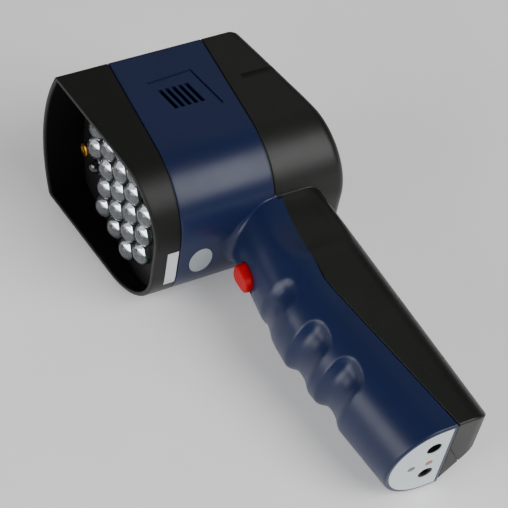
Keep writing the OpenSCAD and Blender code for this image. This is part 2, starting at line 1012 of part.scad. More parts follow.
module sensor_lens() {
    foot = led_board_front + touch;
    r = sensor_d / 2;
    cap_r = (r * r + sensor_out * sensor_out) / (2 * sensor_out);
    color("#15151a")
        lay_down() {
            at_lamp(foot, sensor_place)
                cylinder(r = r, h = plate_front - foot);
            at_lamp(plate_front, sensor_place)
                intersection() {
                    translate([0, 0, sensor_out - cap_r])
                        sphere(cap_r);
                    cylinder(r = r, h = 2 * sensor_out);
                }
        }
}

module display_window() {
    color("#11161a")
        lay_down()
            on_display()
                translate([0, 0, touch - window_t])
                    linear_extrude(window_t - 2 * touch)
                        round_rect(display_h + 2 * window_lip, display_w + 2 * window_lip, 2);
}

module display_module() {
    color("#3d4a44")
        lay_down()
            on_display()
                translate([0, 0, -wall - touch - display_t / 2])
                    cube([display_h + 2 * display_rim, display_w + 2 * display_rim, display_t], center = true);
}

// Board behind the keys, wide above and narrow between the round corners of the head
module main_board() {
    color(board_green)
        lay_down()
            on_keypad()
                translate([0, 0, main_board_z - main_board_t])
                    linear_extrude(main_board_t)
                        polygon([for (side = [1, -1]) each let (row = [
                            [main_board_top, main_board_half],
                            [main_board_step[0], main_board_half],
                            [main_board_step[1], main_board_waist],
                            [main_board_low, main_board_foot]
                        ]) [for (k = [0 : 3]) let (p = row[side > 0 ? k : 3 - k]) [p[0], side * p[1]]]]);
}

module key_domes() {
    color(steel)
        lay_down()
            on_keypad()
                for (place = key_places)
                    translate([place[0], place[1], main_board_z + touch])
                        cylinder(r = dome_r, h = dome_h - touch);
}

// Key with a flange behind the shell and a stem that presses a dome
module pad_key(i) {
    place = key_places[i];
    lay_down()
        on_keypad()
            translate([place[0], place[1], key_back]) {
                linear_extrude(key_out - key_back)
                    round_rect(key_h, key_w, 1.7);
                linear_extrude(key_flange)
                    round_rect(key_h + 2 * key_lip, key_w + 2 * key_lip, 2);
                translate([0, 0, -key_stem])
                    cylinder(r = key_stem_r, h = key_stem + key_flange);
            }
}

module key_power() {
    color(red) pad_key(0);
}

module key_mode() {
    color("#5d6264") pad_key(1);
}

module key_up() {
    color("#5d6264") pad_key(2);
}

module key_half() {
    color("#5d6264") pad_key(3);
}

module key_double() {
    color("#5d6264") pad_key(4);
}

module key_down() {
    color("#5d6264") pad_key(5);
}

// Red trigger with a flange behind the grip's wall and a stem on its switch
module trigger_button() {
    flange_x = trigger_back - trigger_flange;
    color(red)
        lay_down() {
            forward(flange_x, 0, trigger_z) {
                linear_extrude(trigger_face + trigger_out - flange_x)
                    round_rect(trigger_h, trigger_w, trigger_round);
                linear_extrude(trigger_flange)
                    round_rect(trigger_h + 2 * trigger_lip, trigger_w + 2 * trigger_lip, trigger_round);
            }
            forward(flange_x - trigger_stem, 0, trigger_z)
                cylinder(r = trigger_stem_r, h = trigger_stem + trigger_flange);
        }
}

module trigger_switch() {
    color("#2c2c30")
        lay_down() {
            translate([switch_board_x + touch, -switch_size / 2, trigger_z - switch_size / 2])
                cube([switch_body - touch, switch_size, switch_size]);
            forward(plunger_x - plunger_len - switch_body / 2, 0, trigger_z)
                cylinder(r = plunger_r, h = plunger_len + switch_body / 2);
        }
}

module switch_board() {
    color(board_green)
        lay_down()
            translate([switch_board_x - switch_board_t, -switch_board_w / 2, trigger_z - switch_board_h / 2])
                cube([switch_board_t, switch_board_w, switch_board_h]);
}

// Pale plate on the grip's end with holes for the sockets and the indicators
module end_label() {
    color("#d6dfdf")
        lay_down()
            difference() {
                translate([0, 0, end_z])
                    linear_extrude(label_t - touch)
                        label_outline(0);
                for (side = [-1, 1])
                    at_jack(side, end_z - 1)
                        cylinder(d = jack_hole, h = label_t + 2);
                for (i = [0, 1])
                    at_dot(i, end_z - 1)
                        cylinder(d = dot_d + 2 * seat_gap, h = label_t + 2);
            }
}

// Body of a socket, with a nose that reaches into its hole
module socket_body(side, bore, nose = 0) {
    at_jack(side, jack_top + touch)
        difference() {
            union() {
                cylinder(r = jack_r, h = jack_len - 2 * touch);
                translate([0, 0, -nose])
                    cylinder(d = jack_hole - 2 * seat_gap, h = nose + socket_floor);
            }
            translate([0, 0, -nose - 1])
                cylinder(d = bore, h = nose + jack_len - socket_floor + 1);
        }
}

module power_jack() {
    color("#26262a")
        lay_down() {
            socket_body(1, power_bore);
            at_jack(1, jack_top + socket_floor)
                cylinder(d = pin_d, h = jack_len - socket_floor - touch);
        }
}

module signal_jack() {
    color("#26262a")
        lay_down()
            socket_body(-1, plug_d, nose_len);
}

module indicator(i) {
    lay_down()
        at_dot(i, end_z + touch)
            cylinder(d = dot_d, h = jack_board_z - end_z - 2 * touch);
}

module charge_lamp() {
    color("#c24a44") indicator(0);
}

module ready_lamp() {
    color("#7f9a74") indicator(1);
}

module jack_board() {
    half = jack_board_w / 2;
    color(board_green)
        lay_down()
            translate([0, 0, jack_board_z])
                linear_extrude(jack_board_t)
                    polygon([
                        [jack_x - jack_board_back, -half],
                        [jack_x - jack_board_wide, -half],
                        [jack_x + jack_board_front, -jack_board_nose / 2],
                        [jack_x + jack_board_front, jack_board_nose / 2],
                        [jack_x - jack_board_wide, half],
                        [jack_x - jack_board_back, half]
                    ]);
}

// Four cells in a square, each with its nub
module battery_cells() {
    color("#8d9298")
        lay_down()
            on_cells()
                for (i = [-1, 1], j = [-1, 1])
                    translate([i * cell_off, j * cell_off, 0])
                        rotate([i * j > 0 ? 0 : 180, 0, 0])
                            translate([0, 0, -cell_len / 2]) {
                                cylinder(d = cell_d, h = cell_len - nub[1]);
                                cylinder(r = nub[0], h = cell_len);
                            }
}

// Cartridge for the cells: two ends, a back and fins that guide it in the grip
module battery_tray() {
    end_h = cell_len / 2 + touch + contact_t + touch;
    color("#2b2d30")
        lay_down()
            on_cells() {
                for (z = [-end_h - tray_t, end_h])
                    translate([0, 0, z])
                        linear_extrude(tray_t)
                            round_rect(2 * pack_half, 2 * pack_half, cell_d / 2);
                translate([-pack_half - tray_t, -tray_back_w / 2, -end_h - tray_t])
                    cube([tray_t, tray_back_w, 2 * (end_h + tray_t)]);
                for (z = [-end_h - tray_t, end_h])
                    translate([-pack_half - tray_t, -tray_back_w / 2, z])
                        cube([2 * tray_t, tray_back_w, tray_t]);
                for (side = [-1, 1]) {
                    translate([-tray_back_w / 4, side * (pack_half + tray_t / 2) - tray_t / 2, -end_h - tray_t])
                        cube([tray_back_w / 2, tray_t, 2 * (end_h + tray_t)]);
                    translate([-tray_fin / 2, side * (pack_half + inner_r - slide_gap) / 2, 0])
                        cube([tray_fin, inner_r - slide_gap - pack_half, 2 * (end_h + tray_t)], center = true);
                    for (z = [-end_h - tray_t, end_h])
                        translate([-tray_back_w / 4, side * pack_half - tray_t, z])
                            cube([tray_back_w / 2, 2 * tray_t, tray_t]);
                }
            }
}

module battery_contacts() {
    color(steel)
        lay_down()
            on_cells()
                for (z = [-cell_len / 2 - touch - contact_t, cell_len / 2 + touch])
                    translate([-contact_w / 2, -contact_w / 2, z])
                        cube([contact_w, contact_w, contact_t]);
}

// Door that slides down off the grip's back, held by a tongue at its top
module battery_door() {
    top = door_top - slide_gap - knee_z;
    color(black)
        lay_down() {
            intersection() {
                difference() {
                    grip_back(0, end_z);
                    grip_back(grip_wall, end_z + end_wall, 1);
                }
                across(door_w - 2 * slide_gap)
                    door_region(slide_gap);
            }
            on_spine()
                translate([grip_wall - touch, -tongue_w / 2, 0]) {
                    translate([0, 0, top - 2 * tongue_len])
                        cube([slide_gap + tongue_t, tongue_w, 2 * tongue_len]);
                    translate([touch + slide_gap, 0, top - tongue_len])
                        cube([tongue_t - touch, tongue_w, 2 * tongue_len]);
                }
        }
}

// Five screws that come from the back and hold the two shells together
module housing_screws() {
    head_x = band_back - screw_floor - touch - screw_head_h;
    color(steel)
        lay_down()
            for (place = all_bosses)
                forward(head_x, place[0], place[1]) {
                    cylinder(r = screw_head_r, h = screw_head_h);
                    cylinder(r = screw_r, h = band_back - head_x + screw_in);
                }
}

front_hood();
front_shell();
rear_shell();
led_plate();
led_lenses();
led_board();
led_board_screws();
laser_module();
sensor_lens();
display_window();
display_module();
main_board();
key_domes();
key_power();
key_mode();
key_up();
key_half();
key_double();
key_down();
trigger_button();
trigger_switch();
switch_board();
end_label();
power_jack();
signal_jack();
charge_lamp();
ready_lamp();
jack_board();
battery_cells();
battery_tray();
battery_contacts();
battery_door();
housing_screws();
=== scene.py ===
import bmesh
import bpy
import numpy as np
from numpy import array, clip, column_stack, concatenate, cos, linspace, pi, radians, sin, sqrt, stack, where
from mathutils import Euler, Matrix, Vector


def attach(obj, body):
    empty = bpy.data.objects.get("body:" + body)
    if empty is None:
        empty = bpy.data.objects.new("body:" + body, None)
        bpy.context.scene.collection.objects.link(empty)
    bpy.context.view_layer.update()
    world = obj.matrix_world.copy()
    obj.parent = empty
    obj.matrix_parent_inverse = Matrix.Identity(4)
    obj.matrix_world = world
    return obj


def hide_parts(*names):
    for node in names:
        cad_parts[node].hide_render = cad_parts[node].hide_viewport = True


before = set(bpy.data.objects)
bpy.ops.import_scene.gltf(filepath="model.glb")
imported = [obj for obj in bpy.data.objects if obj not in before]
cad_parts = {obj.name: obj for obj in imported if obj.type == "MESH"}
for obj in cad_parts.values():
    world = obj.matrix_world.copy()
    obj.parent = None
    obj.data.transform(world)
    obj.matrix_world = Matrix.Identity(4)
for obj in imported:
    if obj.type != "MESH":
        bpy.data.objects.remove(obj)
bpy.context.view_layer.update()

# The shapes are worked out in the tool's own axes in mm: x along the light, y to its left, z up,
# with z = 0 at the head's top edges and x = 0 in the middle of the blue band.
lying = dict(lean=6.48424, place=(-4.32411, 93.1509, 42.1643))  # how the tool lies on its right side
meshing = dict(sharp=34, weld=2e-6)  # least angle of a sharp edge, welding distance in m


def angles(first, last, count):  # given in degrees
    return radians(linspace(first, last, count))


def tanOf(degrees):
    return np.tan(radians(degrees))


quarter = angles(0, 90, 6)  # a quarter turn, for round edges


def toPart(points):  # tool axes in mm to the part frame in metres: turned on its side, leaned, moved
    p = array(points, float)
    x, y, z, a = p[..., 0], p[..., 1], p[..., 2], radians(lying["lean"])
    return (stack([-x, z * cos(a) - y * sin(a), z * sin(a) + y * cos(a)], -1) + lying["place"]) / 1000


def grid(points, wrapRows=False, wrapCols=True, capFirst=False, capLast=False):
    return stack(points), wrapRows, wrapCols, capFirst, capLast


def meshData(grids):  # points by row and column to quads; rows or columns may close, end rows may be capped
    verts, faces, start = [], [], 0
    for points, wrapRows, wrapCols, capFirst, capLast in grids:
        rows, cols = points.shape[:2]
        i, j = np.meshgrid(np.arange(rows - (not wrapRows)), np.arange(cols - (not wrapCols)), indexing="ij")
        nextI, nextJ = (i + 1) % rows, (j + 1) % cols
        quads = stack([i * cols + j, i * cols + nextJ, nextI * cols + nextJ, nextI * cols + j], -1)
        faces += (quads.reshape(-1, 4) + start).tolist()
        if capFirst:
            faces.append(list(range(start, start + cols)))
        if capLast:
            faces.append(list(range(start + (rows - 1) * cols, start + rows * cols)))
        verts.append(points.reshape(-1, 3))
        start += rows * cols
    return concatenate(verts), faces


def addObject(name, data):
    made = bpy.data.objects.new(name, data)
    bpy.context.scene.collection.objects.link(made)
    return made


def shadeMesh(mesh, sharp):
    mesh.shade_smooth()
    mesh.set_sharp_from_angle(angle=radians(sharp))


def makePiece(name, grids, sharp=meshing["sharp"]):  # grids to one welded mesh with its faces pointing out
    verts, faces = meshData(grids)
    mesh = bpy.data.meshes.new(name)
    mesh.from_pydata(toPart(verts).tolist(), [], faces)
    bm = bmesh.new()
    bm.from_mesh(mesh)
    bmesh.ops.remove_doubles(bm, verts=bm.verts, dist=meshing["weld"])
    bmesh.ops.recalc_face_normals(bm, faces=bm.faces)
    bm.to_mesh(mesh)
    bm.free()
    shadeMesh(mesh, sharp)
    return addObject(name, mesh)


def carve(piece, grids, operation="DIFFERENCE"):  # takes closed shapes off a piece, or keeps the shared part
    cutter = makePiece("cutter", grids)
    step = piece.modifiers.new("carve", "BOOLEAN")
    step.operation, step.solver, step.object = operation, "EXACT", cutter
    bpy.context.view_layer.update()
    made = bpy.data.meshes.new_from_object(piece.evaluated_get(bpy.context.evaluated_depsgraph_get()))
    piece.modifiers.clear()
    old, spent, piece.data = piece.data, cutter.data, made
    made.name = piece.name
    bpy.data.objects.remove(cutter)
    for mesh in (old, spent):
        bpy.data.meshes.remove(mesh)
    shadeMesh(made, meshing["sharp"])
    return piece


def dress(piece, material, body="housing", *, replaces=()):
    piece.data.materials.clear()
    piece.data.materials.append(material)
    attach(piece, body)
    if replaces:
        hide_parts(*replaces)
    return piece


def arc(cy, cz, r, first, last, count):  # points on a circle from one angle to another, in degrees
    a = angles(first, last, count)
    return stack([cy + r * cos(a), cz + r * sin(a)], 1)


def circle(r, count):
    return arc(0, 0, r, 0, 360, count + 1)[:-1]


def rectangle(x0, x1, y0, y1):
    return array([[x0, y0], [x1, y0], [x1, y1], [x0, y1]])


def sideways(p, q, out):  # a step square to the line from p to q
    return array([p[1] - q[1], q[0] - p[0]]) * out / np.linalg.norm(q - p)


def roundRect(w, h, r, steps=7):  # loop of a rectangle with round corners
    x, y = w / 2 - r, h / 2 - r
    corners = [(x, y, 0), (-x, y, 90), (-x, -y, 180), (x, -y, 270)]
    return concatenate([arc(cx, cy, r, a, a + 90, steps) for cx, cy, a in corners])


def holeLoop(s):  # loop of the hole round a cap, with its gap
    return roundRect(s["height"] + 2 * s["gap"], s["width"] + 2 * s["gap"], s["corner"] + s["gap"])


def softMin(a, b, k):  # the lower of two values, with the corner between them rounded over k
    return np.minimum(a, b) - np.maximum(k - abs(a - b), 0) ** 2 / (4 * k)


def softMax(a, b, k):
    return -softMin(-a, -b, k)


def framed(origin, *axes):  # place with its own origin and three axes
    return lambda p: array(origin) + array(p, float) @ array(axes)


def onFace(x0, lean, level):  # place on a leaning back face: up the face, to the left, out of it
    a = radians(lean)
    return framed((x0 + level * np.tan(a), 0, level), (sin(a), 0, cos(a)), (0, 1, 0), (-cos(a), 0, sin(a)))


def forward(x, y, z):  # place whose third axis points along the light
    return lambda p: stack([x + p[..., 2], y + p[..., 1], z - p[..., 0]], -1)


def upright(x, y, z):
    return lambda p: array(p, float) + (x, y, z)


def shifted(place, a, b):  # the same place, moved over its face
    return lambda p: place(array(p, float) + (a, b, 0))


def atHeight(loop, height):
    return column_stack([loop, np.full(len(loop), height)])


def prism(loop, low, high, place=upright(0, 0, 0)):  # a loop carried from one height to another
    return grid(place(stack([atHeight(loop, low), atHeight(loop, high)])), capFirst=True, capLast=True)


def turned(profile, place, count=48, closed=False):  # a profile of (radius, height) turned about the place's third axis
    profile = array(profile, float)
    a = linspace(0, 2 * pi, count, endpoint=False)
    r, h = profile[:, :1], profile[:, 1:]
    return grid(place(stack([r * cos(a), r * sin(a), h + 0 * a], -1)), wrapRows=closed)


# Materials: two shared effects as node groups, then one material for each finish
surface = dict(grain=2600.0, roll=240.0, fineShare=0.7, rollShare=0.5, depth=0.00002, patch=28.0, speck=900.0,
               polished=(0.36, 0.64), dusty=(0.66, 0.78), dustColour=(120, 122, 120))


def addNode(tree, kind, **values):  # a node with its attributes and sockets set by name
    made = tree.nodes.new("ShaderNode" + kind)
    for key, value in values.items():
        if hasattr(made, key):
            setattr(made, key, value)
        else:
            made.inputs[key.replace("_", " ")].default_value = value
    return made


def newGroup(name, inputs, outputs):
    tree = bpy.data.node_groups.new(name, "ShaderNodeTree")
    for key, value in inputs.items():
        tree.interface.new_socket(key, in_out="INPUT", socket_type="NodeSocketFloat").default_value = value
    for key in outputs:
        tree.interface.new_socket(key, in_out="OUTPUT", socket_type="NodeSocketFloat")
    return tree, tree.nodes.new("NodeGroupInput"), tree.nodes.new("NodeGroupOutput")


def makeGrain():  # spark-eroded mould texture: fine pits over a softer roll
    tree, given, out = newGroup("mouldGrain", {"Scale": surface["grain"], "Roll": surface["roll"]}, ["Height"])
    link, coords = tree.links.new, addNode(tree, "TexCoord")
    pits = addNode(tree, "TexVoronoi", feature="SMOOTH_F1")
    fine = addNode(tree, "TexNoise", Detail=3.0, Roughness=0.6)
    roll = addNode(tree, "TexNoise", Detail=1.0)
    for tex, key in ((pits, "Scale"), (fine, "Scale"), (roll, "Roll")):
        link(coords.outputs["Object"], tex.inputs["Vector"])
        link(given.outputs[key], tex.inputs["Scale"])
    height = pits.outputs["Distance"]
    for tex, share in ((fine, surface["fineShare"]), (roll, surface["rollShare"])):
        added = addNode(tree, "Math", operation="MULTIPLY_ADD")
        added.inputs[1].default_value = share
        link(tex.outputs[0], added.inputs[0])
        link(height, added.inputs[2])
        height = added.outputs[0]
    link(height, out.inputs["Height"])
    return tree


def makeHandling():  # patches where hands have polished the surface, and a little dust
    inputs = {"Patch": surface["patch"], "Dust": surface["speck"], "Amount": 0.5}
    tree, given, out = newGroup("handling", inputs, ["Patch", "Dust"])
    link, coords = tree.links.new, addNode(tree, "TexCoord")
    patch = addNode(tree, "TexNoise", Detail=4.0, Roughness=0.55, Distortion=0.4)
    dust = addNode(tree, "TexNoise", Detail=2.0, Roughness=0.8)
    spread = {}
    for tex, key, (low, high) in ((patch, "Patch", surface["polished"]), (dust, "Dust", surface["dusty"])):
        link(coords.outputs["Object"], tex.inputs["Vector"])
        link(given.outputs[key], tex.inputs["Scale"])
        spread[key] = addNode(tree, "MapRange", From_Min=low, From_Max=high)
        link(tex.outputs[0], spread[key].inputs["Value"])
    some = addNode(tree, "Math", operation="MULTIPLY")
    link(spread["Dust"].outputs[0], some.inputs[0])
    link(given.outputs["Amount"], some.inputs[1])
    link(spread["Patch"].outputs[0], out.inputs["Patch"])
    link(some.outputs[0], out.inputs["Dust"])
    return tree


grainGroup, handlingGroup = makeGrain(), makeHandling()


def linear(r, g, b):  # screen colour, 0 to 255, to the shader's linear colour
    c = array([r, g, b]) / 255
    return (*where(c <= 0.04045, c / 12.92, ((c + 0.055) / 1.055) ** 2.4), 1.0)


def finish(name, colour, worn, rough, bump, dust, shine=0.5, grain=surface["grain"], **shaderInputs):
    # The shared effects put together: colour and roughness go from new to worn in patches.
    mat = bpy.data.materials.new(name)
    mat.use_nodes = True
    tree = mat.node_tree
    link, shader = tree.links.new, tree.nodes["Principled BSDF"]
    pitted = addNode(tree, "Group", node_tree=grainGroup, Scale=grain, Roll=surface["roll"])
    hands = addNode(tree, "Group", node_tree=handlingGroup, Patch=surface["patch"], Amount=dust)
    tint = addNode(tree, "Mix", data_type="RGBA", A=linear(*colour), B=linear(*worn))
    dusty = addNode(tree, "Mix", data_type="RGBA", B=linear(*surface["dustColour"]))
    gloss = addNode(tree, "MapRange", To_Min=rough[0], To_Max=rough[1])
    pits = addNode(tree, "Bump", Strength=bump, Distance=surface["depth"])
    link(hands.outputs["Patch"], tint.inputs["Factor"])
    link(hands.outputs["Dust"], dusty.inputs["Factor"])
    link(tint.outputs["Result"], dusty.inputs["A"])
    link(dusty.outputs["Result"], shader.inputs["Base Color"])
    link(hands.outputs["Patch"], gloss.inputs["Value"])
    link(gloss.outputs[0], shader.inputs["Roughness"])
    link(pitted.outputs["Height"], pits.inputs["Height"])
    link(pits.outputs["Normal"], shader.inputs["Normal"])
    shader.inputs["Specular IOR Level"].default_value = shine
    for key, value in shaderInputs.items():
        shader.inputs[key.replace("_", " ")].default_value = value
    return mat


# Each finish: colour, colour where worn, roughness from and to
navyPlastic = finish("navyPlastic", (24, 35, 70), (22, 32, 65), (0.29, 0.35), bump=0.22, dust=0.08, shine=0.34)
blackPlastic = finish("blackPlastic", (25, 27, 24), (29, 31, 28), (0.36, 0.44), bump=0.28, dust=0.12, shine=0.34)
hoodPlastic = finish("hoodPlastic", (21, 23, 20), (25, 27, 24), (0.36, 0.44), bump=0.25, dust=0.08, shine=0.22)
# painted shade: near-black finish for the inside of the hood, darker than the hood's plastic
paintedShadeBlack = finish("paintedShadeBlack", (5, 5, 5), (7, 7, 7), (0.6, 0.72), bump=0.3, dust=0.05, shine=0.12)
platePlastic = finish("platePlastic", (7, 7, 8), (10, 10, 11), (0.45, 0.6), bump=0.3, dust=0.1, shine=0.25)
redPlastic = finish("redPlastic", (184, 3, 17), (174, 3, 14), (0.45, 0.55), bump=0.12, dust=0.02, shine=0.15)
labelFilm = finish("labelFilm", (214, 223, 224), (206, 216, 218), (0.35, 0.45), bump=0.06, dust=0.08)
brassMetal = finish("brassMetal", (190, 146, 62), (160, 118, 48), (0.25, 0.4), bump=0.15, dust=0.1, Metallic=1.0)
steelMetal = finish("steelMetal", (180, 184, 188), (150, 154, 158), (0.25, 0.38), bump=0.2, dust=0.1, Metallic=1.0)
cupMetal = finish("cupMetal", (240, 244, 247), (228, 233, 238), (0.08, 0.16), bump=0.05, dust=0.0, Metallic=1.0)
lensClear = finish("lensClear", (250, 252, 255), (244, 248, 252), (0.0, 0.02), bump=0.0, dust=0.0,
                   Transmission_Weight=0.97, IOR=1.46)
sensorDark = finish("sensorDark", (14, 14, 18), (20, 20, 26), (0.08, 0.14), bump=0.03, dust=0.05, Coat_Weight=0.6)
socketBlack = finish("socketBlack", (8, 8, 9), (11, 11, 12), (0.5, 0.6), bump=0.2, dust=0.1, shine=0.2)
greyRubber = finish("greyRubber", (88, 92, 94), (80, 84, 87), (0.55, 0.66), bump=0.35, dust=0.2)
redRubber = finish("redRubber", (176, 34, 34), (160, 28, 30), (0.5, 0.6), bump=0.35, dust=0.15)
windowGlass = finish("windowGlass", (12, 15, 17), (15, 18, 20), (0.06, 0.12), bump=0.02, dust=0.1, Coat_Weight=0.5)
screenGrey = finish("screenGrey", (132, 146, 128), (124, 139, 121), (0.3, 0.4), bump=0.05, dust=0.05)
lampRed = finish("lampRed", (196, 92, 86), (180, 80, 76), (0.2, 0.3), bump=0.05, dust=0.1)
lampGreen = finish("lampGreen", (98, 110, 86), (88, 100, 78), (0.2, 0.3), bump=0.05, dust=0.1)
boardGreen = finish("boardGreen", (30, 88, 58), (24, 74, 48), (0.3, 0.45), bump=0.2, dust=0.2, grain=700.0)
cellJacket = finish("cellJacket", (140, 146, 152), (120, 126, 134), (0.25, 0.35), bump=0.1, dust=0.1, Metallic=0.6)
switchBlack = finish("switchBlack", (40, 41, 45), (32, 33, 37), (0.45, 0.55), bump=0.25, dust=0.2)
paperWhite = finish("paperWhite", (214, 219, 221), (202, 208, 210), (0.5, 0.62), bump=0.15, dust=0.12)
foilSilver = finish("foilSilver", (166, 174, 178), (152, 160, 165), (0.35, 0.48), bump=0.12, dust=0.12, Metallic=0.2)
print("materials:", len(bpy.data.materials))

# Section of the head: an arched top, eased top edges, straight sides and large round lower corners
head = dict(width=73.6, height=76.0, lowRound=28.0, crown=7.2, topEase=2.4, leastEase=0.8, bandLen=40.6, bandRows=26,
            wall=2.2, gap=0.5, gapDepth=0.6, edge=0.35, tuck=0.05, steps=(18, 7, 14, 24, 5))
bandFront, bandBack = head["bandLen"] / 2, -head["bandLen"] / 2
halfWidth = head["width"] / 2
cornerY, cornerZ = halfWidth - head["lowRound"], head["lowRound"] - head["height"]


def headLoop(inset=0.0):  # one half from the top's middle down to the floor's, then its mirror image
    w, low = halfWidth - inset, inset - head["height"]
    arch = (halfWidth ** 2 + head["crown"] ** 2) / (2 * head["crown"])
    archZ, archR, ease = head["crown"] - arch, arch - inset, max(head["topEase"] - inset, head["leastEase"])
    easeZ = archZ + sqrt((archR - ease) ** 2 - (w - ease) ** 2)
    turn = np.degrees(np.arctan2(easeZ - archZ, w - ease))
    archSteps, easeSteps, sideSteps, cornerSteps, floorSteps = head["steps"]
    half = concatenate([
        arc(0, archZ, archR, 90, turn, archSteps),
        arc(w - ease, easeZ, ease, turn, 0, easeSteps)[1:],
        linspace((w, easeZ), (w, cornerZ), sideSteps)[1:],
        arc(cornerY, cornerZ, head["lowRound"] - inset, 0, -90, cornerSteps)[1:],
        linspace((cornerY, low), (0, low), floorSteps)[1:],
    ])
    return concatenate([half, half[-2:0:-1] * (-1, 1)])


def headRow(x, inset, rake=0.0):  # the section at a place along the head, raked by its height
    loop = headLoop(inset)
    return column_stack([x + rake * loop[:, 1], loop])


def edgeIn(x, e, way=1):  # round edge from an end face to the side, as a quarter circle of rows
    return [headRow(x + way * e * (1 - cos(a)), e * (1 - sin(a))) for a in quarter]


def edgeOut(x, e, rake=0.0):  # round edge from the side to an end face
    return [headRow(x - e * (1 - sin(a)), e * (1 - cos(a)), rake) for a in quarter]


def sideReach(sign, deep, past):  # how far a cut goes through one side of the head
    return sorted([sign * (halfWidth - deep), sign * (halfWidth + past)])


# Hood: its wall's profile carried round the head's section, with a rake that grows towards the rim
hood = dict(length=22.8, rake=9.0, wall=2.0, rimRound=0.7, innerRound=0.5, plateBack=4.1, collarIn=5.0,
            collarInset=2.35, collarWall=1.8, lining=0.08, liningBack=0.9, liningSunk=0.2, rows=9)
hoodRake = tanOf(hood["rake"])
rimX, plateX = bandFront + hood["length"], bandFront + hood["plateBack"]


def makeHood():  # along the side, over the rim, in along the inner wall, and round the collar
    s, h, ways = hood, head, linspace(0, 1, hood["rows"])
    start, r = bandFront + h["gap"], s["innerRound"]
    sideX, sideLen = start + h["edge"], rimX - s["rimRound"] - start - h["edge"]
    rows = [headRow(bandFront + h["tuck"], h["gapDepth"]), headRow(start, h["gapDepth"])]
    rows += edgeIn(start, h["edge"])
    rows += [headRow(sideX + sideLen * t, 0, hoodRake * t) for t in ways[1:-1]]
    rows += edgeOut(rimX, s["rimRound"], hoodRake)
    rows += [headRow(rimX - r * (1 - cos(a)), s["wall"] - r * (1 - sin(a)), hoodRake) for a in quarter]
    rows += [headRow(rimX - r + (plateX - rimX + r) * t, s["wall"], hoodRake * (1 - t)) for t in ways[1:]]
    deep, foot = s["collarInset"] + s["collarWall"], bandFront - s["collarIn"]
    rows += [headRow(plateX, deep), headRow(foot, deep),
             headRow(foot, s["collarInset"]), headRow(bandFront + h["tuck"], s["collarInset"])]
    return makePiece("hood_skin", [grid(rows, wrapRows=True)])


def makeShadeLining():  # painted shade: a thin near-black layer on the hood's inner wall from rim to lamp plate, darker than the hood's own plastic
    s, front, ways = hood, rimX - hood["liningBack"], linspace(0, 1, hood["rows"])
    layer = lambda inset: [headRow(front + (plateX - front) * t, inset, hoodRake * (1 - t)) for t in ways]
    rows = layer(s["wall"] + s["lining"]) + layer(s["wall"] - s["liningSunk"])[::-1]
    return makePiece("hood_painted_shade", [grid(rows, wrapRows=True)])


dress(makeHood(), hoodPlastic, replaces=["front_hood"])
# the hood's inside gets painted shade as a separate near-black layer
dress(makeShadeLining(), paintedShadeBlack)

# Blue band: the section carried along x, with slanted slots and a moulded line cut in both sides
vents = dict(count=5, pitch=2.85, width=1.75, height=11.0, lean=14.0, drop=26.0, deep=4.0, past=2.0,
             lineWidth=1.1, lineDepth=0.7, lineAway=((4.8, 4.6), (3.2, 5.8), (8.2, 3.4)))


def ventCutters():  # slots as slanted four-sided prisms, the line as a bent strip above and behind them
    v = vents
    mid, rise, half, thin = (v["count"] - 1) / 2, v["height"] / 2, v["width"] / 2, v["lineWidth"] / 2
    shift = rise * tanOf(v["lean"])
    slot = array([[shift - half, rise], [shift + half, rise], [half - shift, -rise], [-half - shift, -rise]])
    legs = array([[1, 1], [-1, 1], [-1, -1]]) * (array([mid * v["pitch"], rise]) + v["lineAway"])
    a, b = sideways(legs[0], legs[1], thin), sideways(legs[1], legs[2], thin)
    mitre = (a + b) * thin ** 2 / (thin ** 2 + a @ b)
    band = array([legs[0] + a, legs[1] + mitre, legs[2] + b, legs[2] - b, legs[1] - mitre, legs[0] - a])
    across = lambda p: stack([p[..., 0], p[..., 2], p[..., 1] - v["drop"]], -1)
    cuts = []
    for sign in (1, -1):
        ends = sideReach(sign, v["deep"], v["past"])
        cuts += [prism(slot + ((i - mid) * v["pitch"], 0), *ends, across) for i in range(v["count"])]
        cuts.append(prism(band, *sideReach(sign, v["lineDepth"], v["past"]), across))
    return cuts


def makeBand():  # round edge, side, round edge, and back along the inner wall
    e = head["edge"]
    rows = edgeIn(bandBack, e)
    rows += [headRow(x, 0) for x in linspace(bandBack + e, bandFront - e, head["bandRows"])[1:-1]]
    rows += edgeOut(bandFront, e)
    rows += [headRow(bandFront, head["wall"]), headRow(bandBack, head["wall"])]
    return carve(makePiece("band_skin", [grid(rows, wrapRows=True)]), ventCutters())


bandSkin = dress(makeBand(), navyPlastic)

# Blank stickers under the head: flat outlines laid round its lower corners
stickers = dict(strip=(23.3, -3.8), stripSize=(4.7, 20.4), stripSteps=(6, 25, 6, 25),
                oval=(10.4, -4.3), ovalSize=(10.0, 14.4), ovalSteps=64, thick=0.07, sunk=0.1)


def underHead(x, s, out):  # a place along the head and along its section from the middle of the underside
    turnBy = clip(abs(s) - cornerY, 0, None) / head["lowRound"]
    flat, r = clip(s, -cornerY, cornerY), head["lowRound"] + out
    return stack([x + 0 * s, flat + np.sign(s) * r * sin(turnBy), cornerZ - r * cos(turnBy)], -1)


def makeSticker(name, outline, centre):  # the outline shrunk to its centre, its edge sunk in the shell
    x, s = outline[:, 0], outline[:, 1]
    rows = [underHead(x + centre[0], s + centre[1], -stickers["sunk"])]
    rows += [underHead(centre[0] + x * t, centre[1] + s * t, stickers["thick"]) for t in linspace(1, 0, 9)]
    return makePiece(name, [grid(rows, capFirst=True)], sharp=50)


ovalLoop = circle(1.0, stickers["ovalSteps"]) * array(stickers["ovalSize"]) / 2
corners = rectangle(-1, 1, -1, 1) * array(stickers["stripSize"]) / 2
stripLoop = concatenate([linspace(corners[i], corners[(i + 1) % 4], steps)[:-1]
                         for i, steps in enumerate(stickers["stripSteps"])])
dress(makeSticker("strip_sticker", stripLoop, stickers["strip"]), paperWhite)
dress(makeSticker("oval_sticker", ovalLoop, stickers["oval"]), foilSilver)

